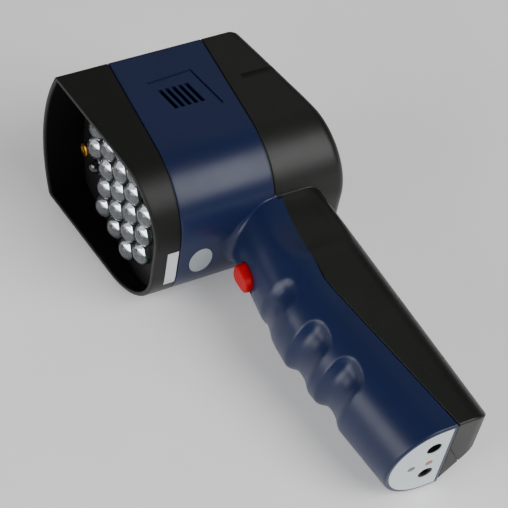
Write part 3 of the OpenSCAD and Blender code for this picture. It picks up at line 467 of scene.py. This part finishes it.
# Grip: a leaning round front with finger scoops, a tapering back, and a fillet into the head
grip = dict(radius=20.5, endZ=-193.0, wall=2.4, endWall=2.6, neckLean=4.5, gripLean=9.5,
            kneeZ=-127.0, kneeX=-19.0, kneeSoft=1.5, kneeReach=4.0,
            partingZ=-118.0, partingLean=11.8, partingSoft=0.8, seam=0.12,
            spineX=-46.8, spineLean=4.6, spineRound=10.5, heelRound=7.0, heelSoft=0.5, heelClear=9.0,
            edge=0.5, endRound=0.9, frontFillet=4.2, sideFillet=0.5, filletFrom=0.6, filletEase=1.5,
            top=-64.0, rows=260, endRows=30, endShare=0.94, hollowTop=-60.0, hollowPast=2.0, hollowRows=90)
scoops = dict(drops=(114.0, 133.2, 152.0), rises=(0.8, 0.5, 0.2), depths=(1.0, 2.5, 2.7), radius=9.5, reach=48.0,
              above=0.75, below=1.35, soft=1.1, riseTurn=55.0, riseMost=1.3, outside=-5.0, least=1e-4)
waist = dict(drop=88.0, depth=2.9, radius=45.0, soft=1.2)


def axisX(z):  # the grip's axis: two leaning lines that meet at the knee, with the corner rounded
    up = grip["kneeX"] - (z - grip["kneeZ"]) * tanOf(grip["neckLean"])
    down = grip["kneeX"] + (z - grip["kneeZ"]) * tanOf(grip["gripLean"])
    return softMin(up, down, grip["kneeSoft"])


def partingX(z):  # face between front and back: level with the band's back, then leaning, with a soft bend
    leaning = (z - grip["partingZ"]) * tanOf(grip["partingLean"])
    return bandBack + softMin(leaning, 0 * z, grip["partingSoft"])


def spineX(z):  # the grip's straight leaning back
    return grip["spineX"] + (z - grip["kneeZ"]) * tanOf(grip["spineLean"])


def headFloor(y):  # level of the head's underside at a place across it, and the cosine of its slope
    out = clip(abs(y) - cornerY, 0, head["lowRound"] - 1)
    rise = sqrt(head["lowRound"] ** 2 - out ** 2)
    return cornerZ - rise, rise / head["lowRound"]


def scoopDepth(x, y, z):  # a ball carried round the axis, rising to its ends, steep above, drawn out below
    s = scoops
    total = np.zeros_like(x)
    for drop, rise, depth in zip(s["drops"], s["rises"], s["depths"]):
        ring = grip["radius"] + s["radius"] - depth
        a = radians(-grip["neckLean"] if -drop > grip["kneeZ"] else grip["gripLean"])
        dx, dz = x - axisX(-drop), z + drop
        along, ahead = dz * cos(a) + dx * sin(a), dx * cos(a) - dz * sin(a)
        angle = abs(np.arctan2(y, ahead))
        along = along - rise * np.minimum(angle / radians(s["riseTurn"]), s["riseMost"])
        along = where(along > 0, along / s["above"], along / s["below"])
        past = clip(angle - radians(s["reach"]), 0, pi / 2)
        left = s["radius"] ** 2 - along ** 2 - (ring * sin(past)) ** 2
        cut = np.hypot(ahead, y) - (ring * cos(past) - sqrt(np.maximum(left, 0)))
        total = softMax(total, where(left > 0, cut, s["outside"]), s["soft"])
    return where(total > s["least"], total, 0)


def waistDepth(y, z, ny):  # a wide cylinder across both sides, beside the trigger
    w = waist
    off = clip(abs(z + w["drop"]), 0, w["radius"] - 1)
    edge = grip["radius"] - w["depth"] + w["radius"] - sqrt(w["radius"] ** 2 - off ** 2)
    return softMax(abs(y) - edge, 0 * y, w["soft"]) * abs(ny)


def gripGrid(side, hollow=False):
    # Columns run along the section's outline, rows from the head down to the grip's end.
    g, front = grip, side == "front"
    inset, past = (g["wall"], g["hollowPast"]) if hollow else (0.0, 0.0)
    r, e = g["radius"] - inset, g["edge"]
    turn, flat = angles(90, 0, 5), linspace(0, 1, 15)[1:]
    sideBase = concatenate([0 * turn, flat])  # 0 at the parting face, 1 at the axis or the spine
    sideShift = concatenate([e * (1 - sin(turn)), e * (1 - flat)])
    sideY = concatenate([r - e * (1 - cos(turn)), r + 0 * flat])
    if front:  # half circle about the axis, flats back to the parting face
        phi = angles(90, -90, 81)[1:-1]
        midNx, midNy = cos(phi), sin(phi)
        sideAhead, midAhead, midY = 0 * sideBase, r * midNx, r * midNy
    else:  # flats from the parting face, round corners, a flat back
        c = g["spineRound"] - inset
        theta = angles(90, 180, 17)[1:]
        cornerNx, cornerNy, mid = cos(theta), sin(theta), linspace(1, -1, 16)[1:-1]
        cornerX, cornerSide = c + c * cornerNx, r - c + c * cornerNy
        midNx = concatenate([cornerNx, 0 * mid - 1, cornerNx[::-1]])
        midNy = concatenate([cornerNy, 0 * mid, -cornerNy[::-1]])
        sideAhead, midAhead = c * sideBase, concatenate([cornerX, 0 * mid, cornerX[::-1]])
        midY = concatenate([cornerSide, mid * (r - c), -cornerSide[::-1]])
    both = lambda start, mid, sign=1: concatenate([start, mid, sign * start[::-1]])  # left, middle, right
    base, ahead, shift = both(sideBase, 0 * midY + 1), both(sideAhead, midAhead), both(sideShift, 0 * midY)
    y, nx, ny = both(sideY, midY, -1), both(0 * sideY, midNx), both(0 * sideY + 1, midNy, -1)

    def place(z, out):  # a row at its levels, pushed out along the outline's normal
        if front:
            bend = clip((g["kneeZ"] + g["kneeReach"] - z) / (2 * g["kneeReach"]), 0, 1)
            lean = -g["neckLean"] + (g["gripLean"] + g["neckLean"]) * bend * bend * (3 - 2 * bend)
            stretch = 1 / cos(radians(lean))
            x = base * axisX(z) + (1 - base) * (partingX(z) + g["seam"] - past) + ahead * stretch + shift
        else:
            parting, heelZ, heelR = partingX(z) - g["seam"] + past, g["endZ"] + g["heelRound"], g["heelRound"] - inset
            heelX = spineX(heelZ) + g["heelRound"] / cos(radians(g["spineLean"]))
            heel = heelX - sqrt(heelR ** 2 - clip(heelZ - z, 0, heelR) ** 2)
            x = base * (spineX(z) + inset) + (1 - base) * parting + ahead - shift
            eased = softMax(x, heel, g["heelSoft"]) - g["heelSoft"] / 4 * (x > heel + g["heelClear"])
            x = np.minimum(where(z < heelZ + g["heelSoft"], eased, x), parting - shift)
        yy = y + 0 * z
        depth = waistDepth(yy, z, ny)
        if front:
            depth = depth + scoopDepth(x, yy, z)
        move = out - depth
        return stack([x + move * nx, yy + move * ny, z], -1)

    if hollow:
        levels = linspace(g["hollowTop"], g["endZ"] + g["endWall"], g["hollowRows"])
        return grid([place(z + 0 * y, 0.0) for z in levels], capFirst=True, capLast=True)
    ease = clip((nx - g["filletFrom"]) / (1 - g["filletFrom"]), 0, 1) ** g["filletEase"]
    fillet = g["sideFillet"] + (g["frontFillet"] - g["sideFillet"]) * ease
    rows = [place(g["top"] + 0 * y, fillet)]
    for a in angles(90, 0, 9):  # the fillet: a quarter circle between head and grip
        out, below = fillet * (1 - cos(a)), fillet * (1 - sin(a))
        floor, slope = headFloor(y + out * ny)
        rows.append(place(floor - below / slope, out))
    floor, slope = headFloor(y)
    top, low = floor - fillet / slope, g["endZ"] + g["endRound"]
    spread = concatenate([linspace(0, g["endShare"], g["rows"] - g["endRows"]),
                          linspace(g["endShare"], 1, g["endRows"] + 1)[1:]])
    rows += [place(top + (low - top) * t, 0.0) for t in spread[1:]]
    for a in quarter[1:]:  # the round edge at the grip's end
        rows.append(place(g["endZ"] + g["endRound"] * (1 - sin(a)) + 0 * y, -g["endRound"] * (1 - cos(a))))
    return grid(rows, capFirst=True, capLast=True)


trigger = dict(width=10.0, height=11.5, drop=93.0, out=3.2, corner=3.6, gap=0.3, round=0.9, dish=0.12, draft=0.3,
               taper=0.02, foot=5.0, straight=1.5, ease=0.05, squeeze=0.8, holeDeep=60.0)
sockets = dict(x=-28.17, gap=17.2, hole=6.3, radius=4.6, length=10.0, floor=1.5, seat=0.05, cut=(-1.0, 6.0),
               powerBore=5.6, powerLip=0.15, signalBore=3.6, signalLip=0.35, noseRadius=3.0, noseSink=0.3,
               pin=2.0, pinEase=0.3, pinLevels=(1.5, 2.0, 9.0), springIn=(0.25, 0.02), springLevels=(1.2, 3.4))
dots = dict(side=1.5, gap=7.6, width=3.0, fit=0.15, sunk=0.42, dome=0.36, length=10.0)
label = dict(edge=-34.47, radius=19.0, thick=0.6, fit=0.15, below=1.0)
endAxisX, triggerFace = axisX(grip["endZ"]), axisX(-trigger["drop"]) + grip["radius"]


def labelLoop():  # hollow of the end plate: straight edge at the back, flats, and a half circle in front
    r, x0 = label["radius"] + label["fit"], label["edge"] - label["fit"]
    return concatenate([arc(endAxisX, 0, r, -90, 90, 60), [[x0, r], [x0, -r]]])


def makeGripFront():
    piece = makePiece("grip_skin", [gripGrid("front")])
    carve(piece, [gripGrid("front", hollow=True)])
    t, s, d, endZ = trigger, sockets, dots, grip["endZ"]
    carve(piece, [prism(holeLoop(t), 0, t["holeDeep"], forward(grip["kneeX"], 0, -t["drop"])),
                  prism(labelLoop(), -label["below"], label["thick"], upright(0, 0, endZ))])
    ring, dot = circle(s["hole"] / 2, 48), circle(d["width"] / 2 + d["fit"], 32)
    cuts = [prism(ring, *s["cut"], upright(s["x"], side * s["gap"] / 2, endZ)) for side in (-1, 1)]
    cuts += [prism(dot, *s["cut"], upright(s["x"] + i * d["gap"], -d["side"], endZ)) for i in (0, 1)]
    return carve(piece, cuts)


gripSkin = dress(makeGripFront(), navyPlastic, replaces=["front_shell"])
print("blue shell:", len(bandSkin.data.polygons), "and", len(gripSkin.data.polygons), "faces")

# Back of the head: three leaning faces with soft bends, a round edge, and cuts for display, keys and screws
back = dict(displayX=-37.7, displayLean=14.8, apronX=-38.2937, apronLean=13.5, padX=-43.4981, padLean=7.5, bend=0.9,
            edge=5.0, centre=(0.0, -36.0), hollowIn=1.0,
            slitStart=6.8, slitEnd=-90.0, slitDrop=24.6, slitHeight=2.4, slitDepth=1.4, slitPast=4.0)
display = dict(level=-11.7, width=46.0, height=14.0, lip=1.0, thick=1.0, fit=0.15, corner=2.0, recessCut=9.0,
               holeCorner=1.0, holeCut=(-6.0, 2.0), foot=-0.95, side=-0.25, rim=-0.06, face=-0.05, bevel=0.012)
keys = dict(level=-58.0, width=10.0, height=7.0, pitchW=14.0, pitchH=11.0, out=1.2, gap=0.3, round=0.9, corner=1.8,
            crown=0.35, foot=-4.0, neck=-1.0, cut=(-6.0, 6.0))
screws = dict(well=3.2, floor=3.0, sleeve=0.9, ledge=1.5, ledgeThick=0.2, mouthIn=2.6, gripMouthIn=1.6,
              headRadius=2.8, headHeight=2.0, headLift=0.25, domeDrop=0.9, fineRadius=2.0,
              crossHalf=0.42, crossReach=1.75, crossDepth=1.1, crossTaper=0.45,
              cut=(-80.0, -4.0), gripCut=(-60.0, -4.0),
              headPlaces=((31.6, -6.2), (-31.6, -6.2), (25.8, -62.5), (-25.8, -62.5)), gripPlace=(0.0, -108.5))
wellLoop = circle(screws["well"], 40)


def backX(z):  # the foremost of the three faces at a level
    b = back
    upper, apron, pad = [b[f"{face}X"] + z * tanOf(b[f"{face}Lean"]) for face in ("display", "apron", "pad")]
    return softMax(softMax(upper, apron, b["bend"]), pad, b["bend"])


def headBackGrid(hollow=False):  # rows go back to the faces, over a round edge, and in to one point
    inset = head["wall"] if hollow else 0.0
    r = back["edge"] - inset / 2
    if hollow:
        rows = [headRow(bandBack + back["hollowIn"], inset)]
    else:
        start = bandBack - head["gap"]
        rows = [headRow(bandBack - head["tuck"], head["gapDepth"]), headRow(start, head["gapDepth"])]
        rows += edgeIn(start, head["edge"], -1)
    first, loop = rows[-1][:, 0], headLoop(inset)
    target = backX(loop[:, 1]) + inset + r
    rows += [column_stack([first + (target - first) * t, loop]) for t in linspace(0, 1, 8)[1:-1]]
    for a in angles(0, 90, 10):
        loop = headLoop(inset + r * (1 - cos(a)))
        rows.append(column_stack([backX(loop[:, 1]) + inset + r * (1 - sin(a)), loop]))
    for t in linspace(0, 1, 34)[1:]:
        inner = loop * (1 - t) + array(back["centre"]) * t
        rows.append(column_stack([backX(inner[:, 1]) + inset, inner]))
    return grid(rows, capFirst=True)


onDisplay = onFace(back["displayX"], back["displayLean"], display["level"])
onPad = onFace(back["padX"], back["padLean"], keys["level"])
keyPlaces = [(j * keys["pitchH"] / 2, i * keys["pitchW"]) for j in (1, -1) for i in (1, 0, -1)]


def makeHeadBack():
    piece = makePiece("head_back_skin", [headBackGrid()])
    carve(piece, [headBackGrid(hollow=True)])
    d, b = display, back
    grow, half = 2 * (d["lip"] + d["fit"]), b["slitHeight"] / 2
    slitLow, slitHigh = -b["slitDrop"] - half, -b["slitDrop"] + half
    recess = roundRect(d["height"] + grow, d["width"] + grow, d["corner"])
    cuts = [prism(recess, -d["thick"], d["recessCut"], onDisplay)]
    cuts += [prism(holeLoop(keys), *keys["cut"], shifted(onPad, *p)) for p in keyPlaces]
    for side in (1, -1):
        slit = rectangle(b["slitEnd"], bandBack - b["slitStart"], *sideReach(side, b["slitDepth"], b["slitPast"]))
        cuts.append(prism(slit, slitLow, slitHigh))
    cuts += [prism(wellLoop, *screws["cut"], forward(bandBack, y, z)) for y, z in screws["headPlaces"]]
    carve(piece, cuts)
    return carve(piece, [prism(roundRect(d["height"], d["width"], d["holeCorner"]), *d["holeCut"], onDisplay)])


headBackSkin = dress(makeHeadBack(), blackPlastic, replaces=["rear_shell"])

# Back of the grip and the battery door, cut from the same tapering shell
door = dict(width=27.0, depth=4.6, top=0.5, gap=0.3, blockBack=-30.0, blockLow=-90.0,
            ribs=4, ribStart=5.0, ribPitch=2.2, ribWidth=13.0, ribHeight=0.5, ribRound=0.55, ribSunk=0.1,
            ribEnds=(0.0, 0.12, 0.3, 1.0), ribSizes=(0.0, 0.6, 0.9, 1.0))
notch = dict(x=-35.97, side=17.5, turn=38.0, slope=45.0, blockDeep=80.0, blockHalf=60.0,
             split=((-36.3, 3.6), (-43.2, -9.8)), splitWidth=0.4, splitDepth=0.7, splitBelow=1.0)
spineUp = (sin(radians(grip["spineLean"])), 0, cos(radians(grip["spineLean"])))
# On the grip's back at the knee: into the grip, across, up
onSpine = framed((grip["spineX"], 0, grip["kneeZ"]), (spineUp[2], 0, -spineUp[0]), (0, 1, 0), spineUp)


def doorBlock(gap):  # the block that the door is cut with, smaller by a gap
    half, deep, high = door["width"] / 2 - gap, door["depth"] - gap, door["top"] - gap
    return prism(rectangle(door["blockBack"], deep, -half, half), door["blockLow"], high, onSpine)


def notchBlock():  # slanted half space at the heel's right corner
    a, t = radians(notch["slope"]), radians(180 + notch["turn"])
    turnBy = array([[cos(t), -sin(t), 0], [sin(t), cos(t), 0], [0, 0, 1]])
    axes = [turnBy @ v for v in ((cos(a), 0, -sin(a)), (0, 1, 0), (sin(a), 0, cos(a)))]  # inward, across, up
    half = notch["blockHalf"]
    block = rectangle(0, notch["blockDeep"], -half, half)
    return prism(block, -half, half, framed((notch["x"], -notch["side"], grip["endZ"]), *axes))


def makeGripBack(name):  # hollow shell with the notch and the split line at its heel
    piece = makePiece(name, [gripGrid("back")])
    carve(piece, [gripGrid("back", hollow=True)])
    carve(piece, [notchBlock()])
    first, last = array(notch["split"])
    across = sideways(first, last, notch["splitWidth"] / 2)
    groove = array([first + across, last + across, last - across, first - across])
    low, high = grip["endZ"] - notch["splitBelow"], grip["endZ"] + notch["splitDepth"]
    return carve(piece, [prism(groove, low, high)])


gripBackSkin = makeGripBack("grip_back_skin")
carve(gripBackSkin, [doorBlock(0)])
carve(gripBackSkin, [prism(wellLoop, *screws["gripCut"], forward(bandBack, *screws["gripPlace"]))])
dress(gripBackSkin, blackPlastic)
doorSkin = carve(makeGripBack("door_skin"), [doorBlock(door["gap"])], "INTERSECT")
dress(doorSkin, blackPlastic, "door", replaces=["battery_door"])


def doorRibs():  # thumb ribs: half-round bars with tapered ends that sit on the door's flat back
    d = door
    a = angles(0, 180, 9)[None, :]
    ends, sizes = array(d["ribEnds"]), array(d["ribSizes"])
    across = concatenate([-d["ribWidth"] / 2 + ends, d["ribWidth"] / 2 - ends[::-1]])[:, None]
    size = concatenate([sizes, sizes[::-1]])[:, None]
    height = d["ribSunk"] - (d["ribHeight"] + d["ribSunk"]) * sin(a) * size
    bars = []
    for i in range(d["ribs"]):
        up = d["top"] - d["ribStart"] - i * d["ribPitch"] + d["ribRound"] * cos(a) * size
        bars.append(grid(onSpine(stack([height, across + 0 * height, up], -1))))
    return bars


dress(makePiece("door_ribs", doorRibs()), blackPlastic, "door")
print("black shells:", *[len(skin.data.polygons) for skin in (headBackSkin, gripBackSkin, doorSkin)], "faces")


def makeScrews():  # deep in each well a turned sleeve, and a domed head with a cross recess
    s, sleeves, heads = screws, [], []
    seat, wall, hole = bandBack - s["floor"], s["well"] + s["sleeve"], s["well"] - s["ledge"]
    a = linspace(0, 2 * pi, 48, endpoint=False)[None, :]
    r = concatenate([linspace(0, s["fineRadius"], 14), linspace(s["fineRadius"], s["headRadius"], 7)[1:]])[:, None]
    dome = s["headHeight"] - s["domeDrop"] * (r / s["headRadius"]) ** 4
    wing = np.minimum(abs(sin(a)), abs(cos(a))) * r
    inCross = (wing < s["crossHalf"]) & (r < s["crossReach"])
    recess = where(inCross, s["crossDepth"] * (1 - s["crossTaper"] * r), 0)
    top = stack([r * cos(a), r * sin(a), seat - s["headLift"] - (dome - recess) + 0 * a], -1)
    skirt = stack([s["headRadius"] * cos(a), s["headRadius"] * sin(a), seat - s["headLift"] + 0 * a], -1)
    mouths = [backX(z) + s["mouthIn"] for y, z in s["headPlaces"]] + [spineX(s["gripPlace"][1]) + s["gripMouthIn"]]
    for (y, z), mouth in zip((*s["headPlaces"], s["gripPlace"]), mouths):
        tube = [(s["well"], mouth), (wall, mouth), (wall, seat), (hole, seat),
                (hole, seat - s["ledgeThick"]), (s["well"], seat - s["ledgeThick"])]
        sleeves.append(turned(tube, forward(0, y, z), 40, closed=True))
        heads.append(grid(forward(0, y, z)(concatenate([top, skirt])), capLast=True))
    return sleeves, heads


sleeveGrids, screwGrids = makeScrews()
dress(makePiece("screw_wells", sleeveGrids), blackPlastic)
dress(makePiece("screw_heads", screwGrids, sharp=50), steelMetal, replaces=["housing_screws"])

# Lamps: clear domes turned from a profile, each over a faceted silver cup
lamps = dict(rows=5, pitch=12.0, drop=11.3, radius=4.95, plateFront=26.4, plateBack=24.4, out=5.2, cap=3.4,
             footSunk=0.5, footSide=1.5, wallStart=2.0, wallEnd=0.05,
             cupFacets=5, cupDeep=24.7, cupMouth=28.0, cupRadius=4.6, cupFloor=0.3, cupEdge=0.25, cupThick=0.3)
sensor = dict(place=(3, 0), radius=4.0, out=4.2, foot=3.0, domeStart=0.2,
              ringWall=0.7, ringFoot=2.0, ringSide=0.35, ringTop=0.6, ringLip=0.5, ringBevel=0.2)
laser = dict(side=8.4, drop=4.1, radius=3.0, out=4.0, length=20.8, bevel=0.35, bevelBack=0.45,
             stepOuter=2.1, stepInner=1.9, stepBack=0.5, eye=1.2, eyeBack=0.6, eyeDeep=2.0)
middle = (lamps["rows"] - 1) / 2


def lampPlace(i, j):  # column from the left, row from the top
    return (middle - i) * lamps["pitch"], -lamps["drop"] - j * lamps["pitch"]


lampPlaces = [lampPlace(i, j) for i in range(lamps["rows"]) for j in range(lamps["rows"])
              if abs(i - middle) + abs(j - middle) < 2 * middle and (i, j) != sensor["place"]]


def lampProfiles():  # dome: a straight wall under a cap of a ball; cup: a cone with a small floor
    s, r = lamps, lamps["radius"]
    tip, foot = s["plateFront"] + s["out"], s["plateBack"] - s["footSunk"]
    capRadius = (r ** 2 + s["cap"] ** 2) / (2 * s["cap"])
    a = linspace(np.arcsin(r / capRadius), 0, 18)
    cap = stack([capRadius * sin(a), tip - capRadius + capRadius * cos(a)], 1)
    walls = linspace(foot + s["wallStart"], tip - s["cap"] - s["wallEnd"], 5)
    dome = concatenate([[[0, foot]], [[r, h] for h in (foot, foot + s["footSide"], *walls)], cap])
    deep, mouth, under = s["cupDeep"], s["cupMouth"], s["cupDeep"] - s["cupThick"]
    cup = [(0, deep), (s["cupFloor"], deep), (s["cupRadius"], mouth), (s["cupRadius"] + s["cupEdge"], mouth),
           (s["cupFloor"] + s["cupThick"], under), (0, under)]
    return dome, cup


domeProfile, cupProfile = lampProfiles()
domes = [turned(domeProfile, forward(0, y, z), 40) for y, z in lampPlaces]
cups = [turned(cupProfile, forward(0, y, z), lamps["cupFacets"]) for y, z in lampPlaces]
dress(makePiece("lamp_domes", domes, sharp=40), lensClear, replaces=["led_lenses"])
dress(makePiece("lamp_cups", cups, sharp=8), cupMetal)


def makeSensor():  # dark dome, a quarter of an ellipse turned, in a thin metal ring
    s, f, place = sensor, lamps["plateFront"], forward(0, *lampPlace(*sensor["place"]))
    r, inner, a = s["radius"], s["radius"] - s["ringWall"], linspace(0, 1, 12) * pi / 2
    dome = stack([inner * cos(a), f + s["domeStart"] + (s["out"] - s["domeStart"]) * sin(a)], 1)
    body = concatenate([[[0, f - s["foot"]], [inner, f - s["foot"]]], dome])
    ring = [(inner, f - s["ringFoot"]), (r, f - s["ringFoot"]), (r, f + s["ringSide"]),
            (r - s["ringBevel"], f + s["ringTop"]), (inner, f + s["ringLip"])]
    return [turned(body, place)], [turned(ring, place, closed=True)]


sensorGrids, ringGrids = makeSensor()
dress(makePiece("sensor_dome", sensorGrids), sensorDark, replaces=["sensor_lens"])
dress(makePiece("sensor_ring", ringGrids), steelMetal)


def makeLaser():  # turned brass barrel with a stepped nose round its eye
    s, r, f = laser, laser["radius"], lamps["plateFront"] + laser["out"]
    foot, floor = f - s["length"], f - s["eyeDeep"]
    body = [(0, foot), (r, foot), (r, f - s["bevelBack"]), (r - s["bevel"], f), (s["stepOuter"], f),
            (s["stepInner"], f - s["stepBack"]), (s["eye"], f - s["eyeBack"]), (s["eye"], floor), (0, floor)]
    return [turned(body, forward(0, -s["side"], -s["drop"]))]


dress(makePiece("laser_barrel", makeLaser()), brassMetal, replaces=["laser_module"])


def makeTrigger():  # a rounded shield carried forward, with a soft edge and a thumb dish in its face
    t, face, side = trigger, triggerFace + trigger["out"], trigger["draft"] / 2
    outline = roundRect(t["height"], t["width"], t["corner"], 9)
    outline[:, 1] *= 1 - t["taper"] * (outline[:, 0] + t["height"] / 2)
    levels = [(triggerFace - t["foot"], 0.0), (triggerFace - t["straight"], 0.0), (triggerFace, t["ease"]),
              (face - t["round"], side)]
    for a in angles(0, 90, 9)[1:]:
        levels.append((face - t["round"] * (1 - sin(a)), side + t["round"] * (1 - cos(a)) * t["squeeze"]))
    size = array([t["height"], t["width"]])
    rows = [atHeight(outline * (1 - 2 * small / size), x) for x, small in levels]
    edge = rows[-1][:, :2]
    for share in linspace(0, 1, 14)[1:]:
        rows.append(atHeight(edge * (1 - share), face - t["dish"] * sin(share * pi / 2) ** 2))
    return [grid(forward(0, 0, -t["drop"])(stack(rows)), capFirst=True)]


dress(makePiece("trigger_cap", makeTrigger(), sharp=40), redPlastic, "trigger",
      replaces=["trigger_button"])


def makeWindow():  # flat pane over the display, with a small bevel
    d = display
    loop = roundRect(d["height"] + 2 * d["lip"], d["width"] + 2 * d["lip"], d["corner"])
    face = loop * (1 - d["bevel"])
    rows = [atHeight(loop, d["foot"]), atHeight(loop, d["side"]), atHeight(face, d["rim"])]
    rows += [atHeight(face * (1 - t), d["face"]) for t in linspace(0, 1, 8)[1:]]
    return [grid(onDisplay(stack(rows)), capFirst=True)]


dress(makePiece("display_pane", makeWindow()), windowGlass, replaces=["display_window"])


def makeKey(place):  # soft-edged cap with a crowned top
    k = keys
    size, top = (k["height"], k["width"]), k["out"] - k["crown"]
    outline = roundRect(*size, k["corner"], 9)
    rows = [atHeight(outline, h) for h in (k["foot"], k["neck"], top - k["round"])]
    for a in angles(0, 90, 7)[1:]:
        scale = 1 - 2 * k["round"] * (1 - cos(a)) / array(size)
        rows.append(atHeight(outline * scale, top - k["round"] * (1 - sin(a))))
    edge = rows[-1][:, :2]
    rows += [atHeight(edge * (1 - t), k["out"] - k["crown"] * (1 - t) ** 2) for t in linspace(0, 1, 9)[1:]]
    return [grid(shifted(onPad, *place)(stack(rows)), capFirst=True)]


for keyName, keyPlace in zip(("power", "mode", "up", "half", "double", "down"), keyPlaces):
    red = keyName == "power"
    cap = makePiece(f"{keyName}_key_cap", makeKey(keyPlace), sharp=45)
    dress(cap, redRubber if red else greyRubber, f"key_{keyName}_cap",
          replaces=[f"key_{keyName}"])


def makeSocket(side, bore, pin):  # turned body whose nose fills its hole, and a turned pin or spring
    s, low, half = sockets, grip["endZ"] + grip["endWall"], bore / 2
    mouth, lip = grip["endZ"] + s["noseSink"], s["powerLip"] if pin else s["signalLip"]
    seat, top, floor = low + s["seat"], low + s["length"], low + s["length"] - s["floor"]
    body = [(0, top), (s["radius"], top), (s["radius"], seat), (s["noseRadius"], seat), (s["noseRadius"], mouth),
            (half + lip, mouth), (half, mouth + lip), (half, floor), (0, floor)]
    place = upright(s["x"], side * s["gap"] / 2, 0)
    if pin:
        r, (tip, shoulder, root) = s["pin"] / 2, [low + h for h in s["pinLevels"]]
        metal = turned([(0, tip), (r - s["pinEase"], tip), (r, shoulder), (r, root), (0, root)], place, 24)
    else:
        inner, outer = [half - thick for thick in s["springIn"]]
        first, last = [low + h for h in s["springLevels"]]
        metal = turned([(inner, first), (outer, first), (outer, last), (inner, last)], place, closed=True)
    return [turned(body, place)], [metal]


for socketName, side in (("power", 1), ("signal", -1)):
    bodyGrids, metalGrids = makeSocket(side, sockets[f"{socketName}Bore"], socketName == "power")
    dress(makePiece(f"{socketName}_socket", bodyGrids), socketBlack,
          replaces=[f"{socketName}_jack"])
    dress(makePiece(f"{socketName}_contact", metalGrids), steelMetal)


def makeDot(i):  # light pipe with a low dome
    low, r, a = grip["endZ"], dots["width"] / 2, angles(0, 90, 8)
    dome = stack([r * cos(a), low + dots["sunk"] - dots["dome"] * sin(a)], 1)
    body = concatenate([[[0, low + dots["length"]], [r, low + dots["length"]]], dome])
    return [turned(body, upright(sockets["x"] + i * dots["gap"], -dots["side"], 0), 32)]


dress(makePiece("charge_dot", makeDot(0)), lampRed, replaces=["charge_lamp"])
dress(makePiece("ready_dot", makeDot(1)), lampGreen, replaces=["ready_lamp"])
print("small pieces made")

# Solids that stay as they are get their finishes
keptNodes = dict(led_plate=platePlastic, led_board=boardGreen, led_board_screws=steelMetal, display_module=screenGrey,
                 main_board=boardGreen, key_domes=steelMetal, trigger_switch=switchBlack, switch_board=boardGreen,
                 end_label=labelFilm, jack_board=boardGreen, battery_cells=cellJacket, battery_tray=switchBlack,
                 battery_contacts=steelMetal)
for nodeName, material in keptNodes.items():
    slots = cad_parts[nodeName].data.materials
    slots.clear()
    slots.append(material)
print("solids kept:", len(keptNodes))

# Stage: pale floor, soft boxes and the camera at the picture's angle
stage = dict(floor=3.0, floorZ=-0.0002, floorLines=9, floorGlow=0.2, camera=(-0.24330, -0.39709, 0.53597),
             turn=(43.2822, -4.3675, -26.7200), lens=123.895, sensor=36.0, aim=(0, 0, 0.03), sky=0.06)


def makeStage():
    edge = linspace(-stage["floor"], stage["floor"], stage["floorLines"])
    x, y = np.meshgrid(edge, edge, indexing="ij")
    mesh = bpy.data.meshes.new("floor")
    verts, faces = meshData([grid(stack([x, y, 0 * x + stage["floorZ"]], -1), wrapCols=False)])
    mesh.from_pydata(verts.tolist(), [], faces)
    floor = addObject("floor", mesh)
    mesh.materials.append(finish("floorPaper", (250, 250, 250), (246, 246, 246), (0.7, 0.8), bump=0.02, dust=0.0,
                                 Emission_Color=(1, 1, 1, 1), Emission_Strength=stage["floorGlow"]))
    camera = addObject("camera", bpy.data.cameras.new("camera"))
    camera.location = stage["camera"]
    camera.rotation_euler = Euler(radians(stage["turn"]), "XYZ")
    camera.data.lens, camera.data.sensor_width = stage["lens"], stage["sensor"]
    bpy.context.scene.camera = camera


softBoxes = dict(rightBox=((0.52, -0.98, 1.01), (1.0, 1.1), 20.0),  # place, size, power
                 frontBox=((-1.36, -0.24, 0.50), (0.95, 0.85), 13.5),
                 sideBox=((-1.32, 0.53, 0.46), (0.4, 0.4), 2.5),
                 farBox=((0.60, 0.94, 1.29), (1.2, 1.1), 1.4))


def makeLights():
    for name, (place, size, power) in softBoxes.items():
        lamp = bpy.data.lights.new(name, "AREA")
        lamp.shape, lamp.energy = "RECTANGLE", power
        lamp.size, lamp.size_y = size
        softBox = addObject(name, lamp)
        softBox.location = place
        aim = Vector(stage["aim"]) - Vector(place)
        softBox.rotation_euler = aim.to_track_quat("-Z", "Y").to_euler()
    world = bpy.data.worlds.new("studio")
    world.use_nodes = True
    sky = world.node_tree.nodes["Background"].inputs
    sky["Color"].default_value, sky["Strength"].default_value = (1, 1, 1, 1), stage["sky"]
    bpy.context.scene.world = world


makeStage()
makeLights()
